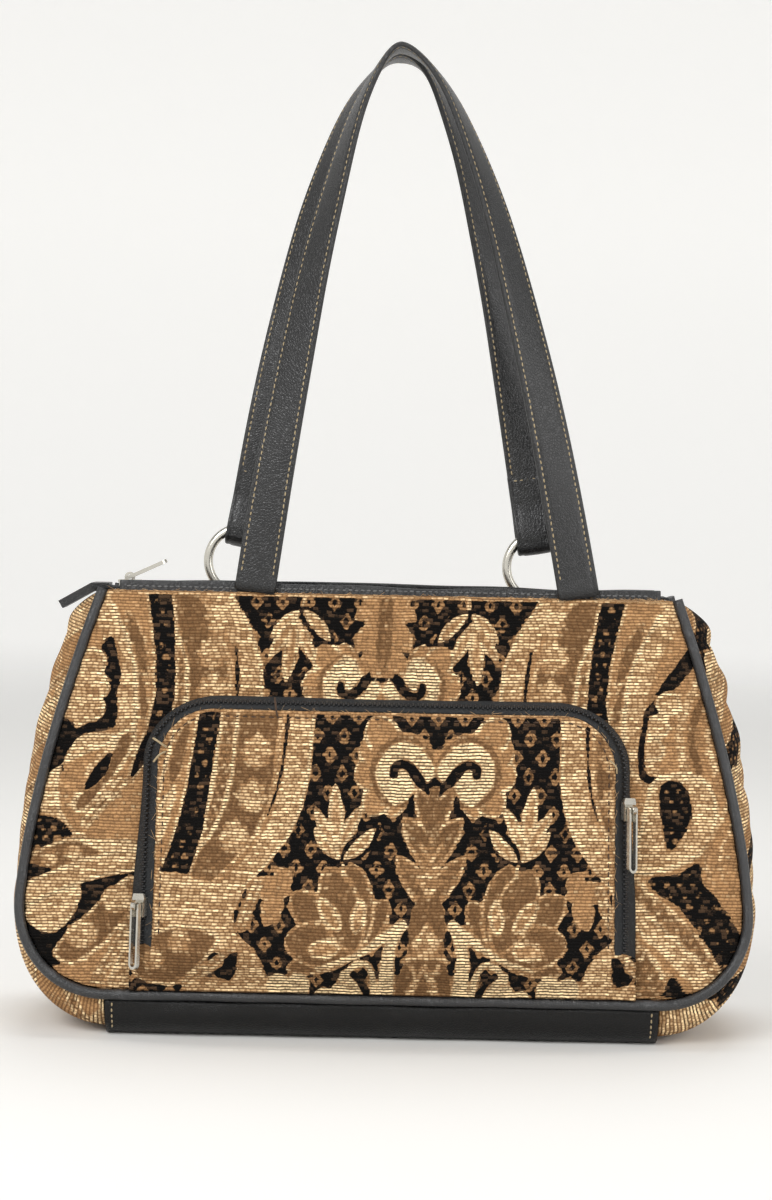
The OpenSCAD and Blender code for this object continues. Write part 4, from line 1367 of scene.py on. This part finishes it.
def strap_side(foot, top_y, power, level, steps=110):
    """Points and width directions from the top of a strap down to one foot."""
    t = np.linspace(0, 1, steps)
    drop = STRAP_TOP - foot[2]
    turn = math.pi / 2 * (1 - t ** 1.3)
    slope = power * drop * t ** (power - 1)
    square_on = unit(np.column_stack((slope, 0 * t, np.full(steps, foot[0]))))
    in_plane = unit(mix(square_on, np.array((1.0, 0, 0)), (level * ease(0.8, 1, t))[:, None]))
    points = np.column_stack((foot[0] * t, mix(top_y, foot[1], ease(0, 1, t)),
                              STRAP_TOP - drop * t ** power))
    return points, unit(np.cos(turn)[:, None] * in_plane + np.sin(turn)[:, None] * np.array((0, 1.0, 0)))


def both_sides(points, wide, shift):
    """A strap from its left foot over the top to its right foot."""
    flip = np.array((-1.0, 1, 1))
    share = np.linspace(0, 1, len(points))[:, None] * np.array((shift, 0, 0))
    path = np.vstack(((points * flip + share)[:0:-1], points + share))
    return path, np.vstack(((wide * flip)[:0:-1], wide))


def ribbon(name, path, wide, body, node):
    """A strap along a path. Small bends in the leather come from slow waves across its face."""
    forward = tangents(path)
    out = unit(np.cross(forward, wide))
    run = np.arange(len(path)) * STRAP_STEP
    path = path + out * (0.35 * np.sin(run * 0.061) * np.sin(run * 0.023 + 1))[:, None]
    dress(tube(name, path, out, strap_ring, STRAP_AROUND), LEATHER, body, "leather", node)
    return path, out


# %% [markdown]
# The front strap goes straight into the top edge. The rear strap is led round its rings: each foot
# gets a loop of points, in the plane that the strap pulls in.

# %% Front and rear straps
facing_front = -lean(BODY_H) + CLOTH_T + SEAM
front_foot = np.array((FRONT_FOOT, facing_front - SEAM - STRAP_T / 2, BODY_H + SEAM))
front_line = both_sides(*strap_side(front_foot, -STRAP_TOP_Y, STRAP_POWER, 1), STRAP_SHIFT)
front_path, front_out = ribbon("front_strap_leather", *front_line, "bag", "front_strap")

ring_centre = (ring_low + ring_high) / 2
PULL_LEAN = math.atan(ring_centre[0] / (STRAP_POWER * (STRAP_TOP - ring_centre[2])))
fold_up = np.array((-math.sin(PULL_LEAN), 0, math.cos(PULL_LEAN)))
fold_wide = np.array((math.cos(PULL_LEAN), 0, math.sin(PULL_LEAN)))
FOLD_L = 30.0
FOLD_NECK = STRAP_T / 2 + SEAM / 2
FOLD_R = WIRE_R + 1.2 + STRAP_T / 2
FOLD_LOW = -(RING_R - math.sqrt(RING_R ** 2 - STRAP_W ** 2 / 4))
ring_top = ring_centre + RING_R * fold_up
rear_foot = ring_top + FOLD_L * fold_up - np.array((0, FOLD_NECK, 0))
rear_power = rear_foot[0] / ((STRAP_TOP - rear_foot[2]) * math.tan(PULL_LEAN))
rear_points, rear_wide = strap_side(rear_foot, STRAP_TOP_Y, rear_power, 0)
bend = [(-FOLD_R * math.cos(a), FOLD_LOW - FOLD_R * math.sin(a)) for a in np.linspace(0, math.pi, 9)]
loop = smooth_path([(-FOLD_NECK, FOLD_L), (-FOLD_NECK, 20), (-FOLD_NECK, 14), (-FOLD_R, WIRE_R)] + bend
                   + [(FOLD_R, WIRE_R), (FOLD_NECK, 14), (FOLD_NECK, 20), (FOLD_NECK, FOLD_L)], 6)[1:]
loop_points = ring_top + loop[:, :1] * np.array((0, 1.0, 0)) + loop[:, 1:] * fold_up
rear_points = np.vstack((rear_points, loop_points))
rear_wide = np.vstack((rear_wide, np.tile(fold_wide, (len(loop_points), 1))))
rear_line = both_sides(rear_points, rear_wide, 0)
rear_path, rear_out = ribbon("rear_strap_leather", *rear_line, "rear_carry", "rear_strap")
print("strap points along:", len(front_path), len(rear_path))

# %% [markdown]
# A zip tape runs round the pocket from one lower corner to the other. It bridges the step from the
# pocket's rim to the face behind it. A flat strip can't follow both, so the tape is drawn between two
# lines, one along the rim and one on the face.

# %% Pocket zip tape
TAPE_OVER = 5.5
TAPE_TAPER = 3.2
TAPE_T = 1.0
TAPE_STEPS = 420
RIM_STEPS = 300
COIL_SHARE = 0.45


def at_stations(path, stations):
    """Points at given distances along a path."""
    run = np.concatenate(([0.0], np.cumsum(np.linalg.norm(np.diff(path, axis=0), axis=1))))
    return np.column_stack([np.interp(stations * run[-1], run, column) for column in path.T])


def pocket_loop(side, over):
    """The pocket's rim moved out by side and over, from the right foot over the top to the left."""
    cx, cz = POCKET_W - POCKET_R, POCKET_TOP - POCKET_R
    a = np.linspace(0, math.pi / 2, 40)
    up = np.linspace(ZIP_END - 6, cz, 90)[:-1]
    bow = np.column_stack((cx + (POCKET_R + side) * np.cos(a), cz + (POCKET_R + over) * np.sin(a)))
    right = np.vstack((np.column_stack((np.full(len(up), cx + POCKET_R + side), up)), bow))
    return np.vstack((right, right[::-1] * (-1, 1)))


def tape_point(share, across, along, narrow=0.0):
    """A point of the tape. share is 0 at the pocket and 1 at the outer edge."""
    inner = pocket_loop(SEAM, SEAM)
    outer = pocket_loop(TAPE_SIDE, TAPE_OVER)
    outer[:, 0] -= np.sign(outer[:, 0]) * narrow * ease(60, 125, outer[:, 1])
    lines = []
    for line, back in ((inner, None), (outer, -1.3)):
        x, z = line.T
        y = face_y(x, z) + (back if back else 1.0 - pocket_rise(z))
        lines.append(at_stations(np.column_stack((x, y, z)), along))
    return mix(lines[0], lines[1], share[:, None]) + across


def tape_place(u, v):
    dip = -0.35 * np.sin(u * math.pi)
    return tape_point(u, np.column_stack((0 * u, dip, 0 * u)), v, TAPE_TAPER)


pocket_tape, _, _ = skin("pocket_zip_cloth", 8, TAPE_STEPS, tape_place, TAPE_T)
dress(pocket_tape, TAPE, "bag", "zip_tape", "pocket_zip_tape")
print("tape points:", len(pocket_tape.data.vertices))


# %% [markdown]
# Teeth, stitches and frayed fibres all repeat a small shape. Instances would be lighter, but one joined
# mesh for each row exports as one piece, so the shape is copied into it at every place. One helper finds
# the places along a line, for every zip, seam and frayed edge.

# %% Copy a small shape along lines
def copies(name, shape, places):
    """One mesh made of a small bmesh shape at every place, a list of 4 x 4 matrices in millimetres."""
    seed_mesh = bpy.data.meshes.new(name)
    shape.to_mesh(seed_mesh)
    shape.free()
    bm = bmesh.new()
    for place in places:
        start = len(bm.verts)
        bm.from_mesh(seed_mesh)
        bm.verts.ensure_lookup_table()
        bmesh.ops.transform(bm, matrix=Matrix(place), verts=bm.verts[start:])
    bmesh.ops.scale(bm, vec=(MM, MM, MM), verts=bm.verts)
    bm.to_mesh(seed_mesh)
    bm.free()
    smooth(seed_mesh)
    return new_object(name, seed_mesh)


def block(bevel):
    bm = bmesh.new()
    bmesh.ops.create_cube(bm, size=1.0)
    bmesh.ops.bevel(bm, geom=bm.edges[:], offset=bevel, affect="EDGES", segments=1, profile=0.5,
                    material=-1)
    return bm


def pill():
    bm = bmesh.new()
    bmesh.ops.create_uvsphere(bm, u_segments=6, v_segments=4, radius=0.5)
    bmesh.ops.rotate(bm, verts=bm.verts, matrix=Matrix.Rotation(math.pi / 2, 3, "Y"))
    return bm


def along_line(path, out, pitch, size, lift=0.0, sway=0.0, chance=0.0, seed=1):
    """Places along a line for copies of a size (length, width, height), swayed aside by turns."""
    rng = np.random.default_rng(seed)
    length = np.linalg.norm(np.diff(path, axis=0), axis=1).sum()
    stations = (np.arange(int(length / pitch)) + 0.5) * pitch / length
    centre = at_stations(path, stations)
    ahead = unit(at_stations(path, np.minimum(stations + 1e-3, 1)) - at_stations(path, stations - 1e-3))
    steps = np.linspace(0, 1, len(path))
    run = np.concatenate(([0.0], np.cumsum(np.linalg.norm(np.diff(path, axis=0), axis=1)))) / length
    shares = np.interp(stations, run, steps)
    up = unit(np.column_stack([np.interp(shares, steps, column) for column in out.T]))
    side = unit(np.cross(up, ahead))
    up = np.cross(ahead, side)
    places = []
    for i in range(len(stations)):
        slant, drift, grow = rng.normal(0, chance, 3)
        lead = ahead[i] + side[i] * slant
        middle = centre[i] + up[i] * lift + side[i] * (sway * (-1) ** i + drift)
        place = np.eye(4)
        place[:3, 0] = lead * size[0] * (1 + grow)
        place[:3, 1] = side[i] * size[1]
        place[:3, 2] = up[i] * size[2]
        place[:3, 3] = middle
        places.append(place)
    return places


# %% [markdown]
# Nylon teeth stand in two rows that mesh. One bevelled block along the middle of each tape, set to the
# left and right by turns, gives both rows at once.

# %% Zip teeth
TOOTH = (0.8, 2.4, 1.1)
TOOTH_PITCH = 1.15
TOOTH_BEVEL = 0.2
MAIN_STEPS = 60

main_low, main_high = node_box("main_zip_coil")
main_line = np.linspace((main_low[0], 0.0, main_low[2]), (main_high[0], 0.0, main_low[2]), MAIN_STEPS)
upward = np.tile((0.0, 0, 1), (MAIN_STEPS, 1))
main_places = along_line(main_line, upward, TOOTH_PITCH, TOOTH, 0.8, 0.7)
main_teeth = copies("main_zip_teeth", block(TOOTH_BEVEL), main_places)
dress(main_teeth, NYLON, "bag", "zip_tape", "main_zip_coil")

stations = np.linspace(0.014, 0.986, RIM_STEPS)
coil_line = tape_point(np.full(RIM_STEPS, COIL_SHARE), np.array((0, -0.3, 0)), stations)
edge_line_in = tape_point(np.full(RIM_STEPS, COIL_SHARE - 0.2), np.zeros(3), stations)
edge_line_out = tape_point(np.full(RIM_STEPS, COIL_SHARE + 0.2), np.zeros(3), stations)
coil_out = unit(np.cross(tangents(coil_line), edge_line_out - edge_line_in))
coil_out = coil_out * np.sign(-coil_out[:, 1:2])
pocket_places = along_line(coil_line, coil_out, TOOTH_PITCH, TOOTH, 0.5, 0.6)
pocket_teeth = copies("pocket_zip_teeth", block(TOOTH_BEVEL), pocket_places)
dress(pocket_teeth, NYLON, "bag", "zip_tape", "pocket_zip_coil")
print("teeth faces:", len(main_teeth.data.polygons) + len(pocket_teeth.data.polygons))

# %% [markdown]
# Thread is what shows that a bag is sewn. The straps have a cream seam along each edge, front and back,
# and two rows across where a fold is closed. The cloth is hemmed with darker thread.

# %% Strap seams
STITCH = (2.1, 0.85, 0.7)
STITCH_PITCH = 3.0
SEAM_LIFT = STRAP_T / 2 - 0.4
CROSS_STEPS = 12


def strap_seams(path, out, start, seed):
    sideways = unit(np.cross(tangents(path), out))
    places = []
    for edge in (-1, 1):
        for face in (-1, 1):
            line = path + sideways * edge * (STRAP_W / 2 - STITCH_IN) + out * face * SEAM_LIFT
            kept = slice(start, len(path) - start)
            places += along_line(line[kept], face * out[kept], STITCH_PITCH, STITCH, 0, 0, 0.05,
                                 seed + edge + face)
    return places


def cross_seam(middle, wide, out, width, seed):
    line = middle + np.linspace(-0.5, 0.5, CROSS_STEPS)[:, None] * width * wide
    return along_line(line, np.tile(out, (CROSS_STEPS, 1)), STITCH_PITCH, STITCH, 0, 0, 0.05, seed)


front_seams = copies("front_strap_stitches", pill(), strap_seams(front_path, front_out, 2, 20))
dress(front_seams, CREAM, "bag", "leather")
rear_places = strap_seams(rear_path, rear_out, len(loop_points), 30)
for side in (-1, 1):
    flip = np.array((side, 1, 1))
    for rise in (12.5, FOLD_L - 2):
        for face in (-1, 1):
            middle = ring_top + fold_up * rise + np.array((0, face * (FOLD_NECK + SEAM_LIFT + 0.15), 0))
            rear_places += cross_seam(middle * flip, fold_wide * flip, (0.0, face, 0),
                                      STRAP_W - 2 * STITCH_IN, 40 + side)
rear_seams = copies("rear_strap_stitches", pill(), rear_places)
dress(rear_seams, CREAM, "rear_carry", "leather")
print("stitch faces:", len(front_seams.data.polygons) + len(rear_seams.data.polygons))

# %% [markdown]
# The cloth has a dark row along the top edge of each face and one round the pocket. A row follows the
# same formula as the cloth that it sews, a little way in from the edge.

# %% Hems in the cloth
HEM_STITCH = (2.7, 0.8, 0.6)
HEM_PITCH = 4.2
EDGE_STEPS = 120
EDGE_TILT = 0.17

hem_places = []
for side in (-1, 1):
    x = np.linspace(-1, 1, EDGE_STEPS) * (half_width(np.array([BODY_H - TOP_HEM]), CLEAR)[0] - 2)
    z = np.full(EDGE_STEPS, BODY_H - TOP_HEM)
    line = np.column_stack((x, side * (lean(z) - 0.4), z))
    hem_places += along_line(line, np.tile((0, side, EDGE_TILT), (EDGE_STEPS, 1)), HEM_PITCH, HEM_STITCH,
                             0, 0, 0.06, 50 + side)
rim = at_stations(pocket_loop(-HEM, -HEM), np.linspace(0.02, 0.98, RIM_STEPS))
rim_line = np.column_stack((rim[:, 0], face_y(*rim.T) - pocket_rise(rim[:, 1]) + 0.45, rim[:, 1]))
hem_places += along_line(rim_line, np.tile((0, -1.0, 0.1), (RIM_STEPS, 1)), HEM_PITCH, HEM_STITCH, 0, 0,
                         0.06, 55)
hems = copies("hem_stitches", pill(), hem_places)
dress(hems, DARK_THREAD, "bag", "tapestry")
print("hem faces:", len(hems.data.polygons))

# %% [markdown]
# Grey thread holds the facings, and cream thread closes the ends of the base. Both use the same stitch
# and lie on the surface that they sew.

# %% Seams of the facings and the base
FACING_SEAM = BODY_H + 1.9
BASE_SEAM_IN = 3.4
BASE_STEPS = 30

facing_places = []
for side in (-1, 1):
    x = np.linspace(-1, 1, EDGE_STEPS) * (facing_high[0] - 3)
    z = np.full(EDGE_STEPS, FACING_SEAM)
    line = np.column_stack((x, side * (facing_y(z) + 0.1), z))
    facing_places += along_line(line, np.tile((0, side, EDGE_TILT), (EDGE_STEPS, 1)), STITCH_PITCH,
                                STITCH, 0, 0, 0.05, 45 + side)
facing_seams = copies("facing_stitches", pill(), facing_places)
dress(facing_seams, GREY_THREAD, "bag", "leather")

base_places = []
for edge in (-1, 1):
    u = np.full(BASE_STEPS, 0.5 + edge * (0.5 - BASE_SEAM_IN / (2 * BASE_HALF)))
    for side, start, stop in ((-1, 0.995, 0.86), (1, 0.005, 0.14)):
        line = base_place(u, np.linspace(start, stop, BASE_STEPS))
        out = np.cross(tangents(line), (1.0, 0, 0))
        out = out * np.sign(out[:, 1:2] * side - out[:, 2:] * 0.5)
        base_places += along_line(line, unit(out), STITCH_PITCH, STITCH, 0.05, 0, 0.05, 48 + edge + side)
base_seams = copies("base_stitches", pill(), base_places)
dress(base_seams, CREAM, "bag", "leather")
print("facing and base stitches:", len(facing_places) + len(base_places))

# %% [markdown]
# Wear shows as loose ends. Short fibres stand along the turned edges, thicker where the bag is handled,
# and a few threads have come undone at the corners of the pocket. The rings have rubbed the back edge
# clean where they lie on it.

# %% Fray and loose threads
FIBRE = (2.6, 0.22, 0.22)


def fray(line, out, pitch, seed):
    return along_line(line, np.tile(out, (len(line), 1)), pitch, FIBRE, 0.1, 0.3, 0.75, seed)


x = np.linspace(-1, 1, EDGE_STEPS) * (half_width(np.array([BODY_H]), CLEAR)[0] - 1)
fray_places = []
for side in (-1, 1):
    top_edge = np.column_stack((x, np.full(EDGE_STEPS, side * lean(BODY_H)),
                                np.full(EDGE_STEPS, BODY_H - 0.3)))
    edge_places = fray(top_edge, (0, side * 0.5, 0.8), 1.6, 60 + side)
    if side > 0:
        edge_places = [p for p in edge_places if abs(abs(p[0, 3]) - ring_centre[0]) > RING_R]
    fray_places += edge_places
    if side < 0:
        fray_places += fray(top_edge[-16:], (0, side * 0.5, 0.8), 0.35, 70)
rim = at_stations(pocket_loop(-0.6, -0.6), np.linspace(0.02, 0.98, RIM_STEPS))
rim_edge = np.column_stack((rim[:, 0], face_y(*rim.T) - pocket_rise(rim[:, 1]) + 0.7, rim[:, 1]))
fray_places += fray(rim_edge, (0, -0.9, 0.4), 1.9, 64)
fibres = copies("edge_fibres", pill(), fray_places)
dress(fibres, TAN_THREAD, "bag", "tapestry")

LOOSE = {
    "left_corner_thread": (CREAM, 0.55, [(-111.5, 0.6, 142.5), (-109.5, -1.6, 141.8), (-107, -1.9, 140.2),
                                         (-105, 0.4, 138.6)]),
    "left_side_thread": (CREAM, 0.5, [(-111, 0.8, 131.5), (-109, -1.2, 134), (-107.4, -1.6, 135.6),
                                      (-105.4, 0.4, 136.4)]),
    "right_corner_thread": (CREAM, 0.4, [(109.5, 0.8, 130.5), (109.2, -1.2, 133), (108, -1.5, 135),
                                         (106, 0.4, 136.6)]),
    "top_thread": (DARK_THREAD, 0.5, [(-52, 1, 153), (-52.8, -1.2, 156), (-53.4, -1.6, 159.5),
                                      (-54, -0.6, 163)]),
}
for name, (material, radius, points) in LOOSE.items():
    route = np.array([(a, face_y(a, c) - pocket_rise(c) + b, c) for a, b, c in points])
    route = smooth_path(route, 8)
    upright = unit(np.cross(tangents(route), (0.2, 1.0, 0.1)))
    thread = tube(name, route, upright, round_ring(radius), 8)
    dress(thread, material, "bag", "tapestry")
print("fibres:", len(fray_places), "loose threads:", len(LOOSE))

# %% [markdown]
# The solids that already have their true shape stay. They only get their finishes.

# %% Finishes on the solids
KEPT = [
    (LEATHER, ["zip_end_tab", "ring_tab_left", "ring_tab_right"]),
    (TAPE, ["main_zip_front_tape", "main_zip_back_tape"]),
    (NICKEL, ["main_zip_slider", "main_zip_pull", "pocket_slider_left", "pocket_slider_right",
              "pocket_pull_left", "pocket_pull_right", "ring_left", "ring_right"]),
    (LINING, ["lining"]),
    (BOARD, ["base_board"]),
]
for material, names in KEPT:
    for name in names:
        nodes[name].data.materials.clear()
        nodes[name].data.materials.append(material)
print("solids kept:", sum(len(names) for _, names in KEPT))

# %% [markdown]
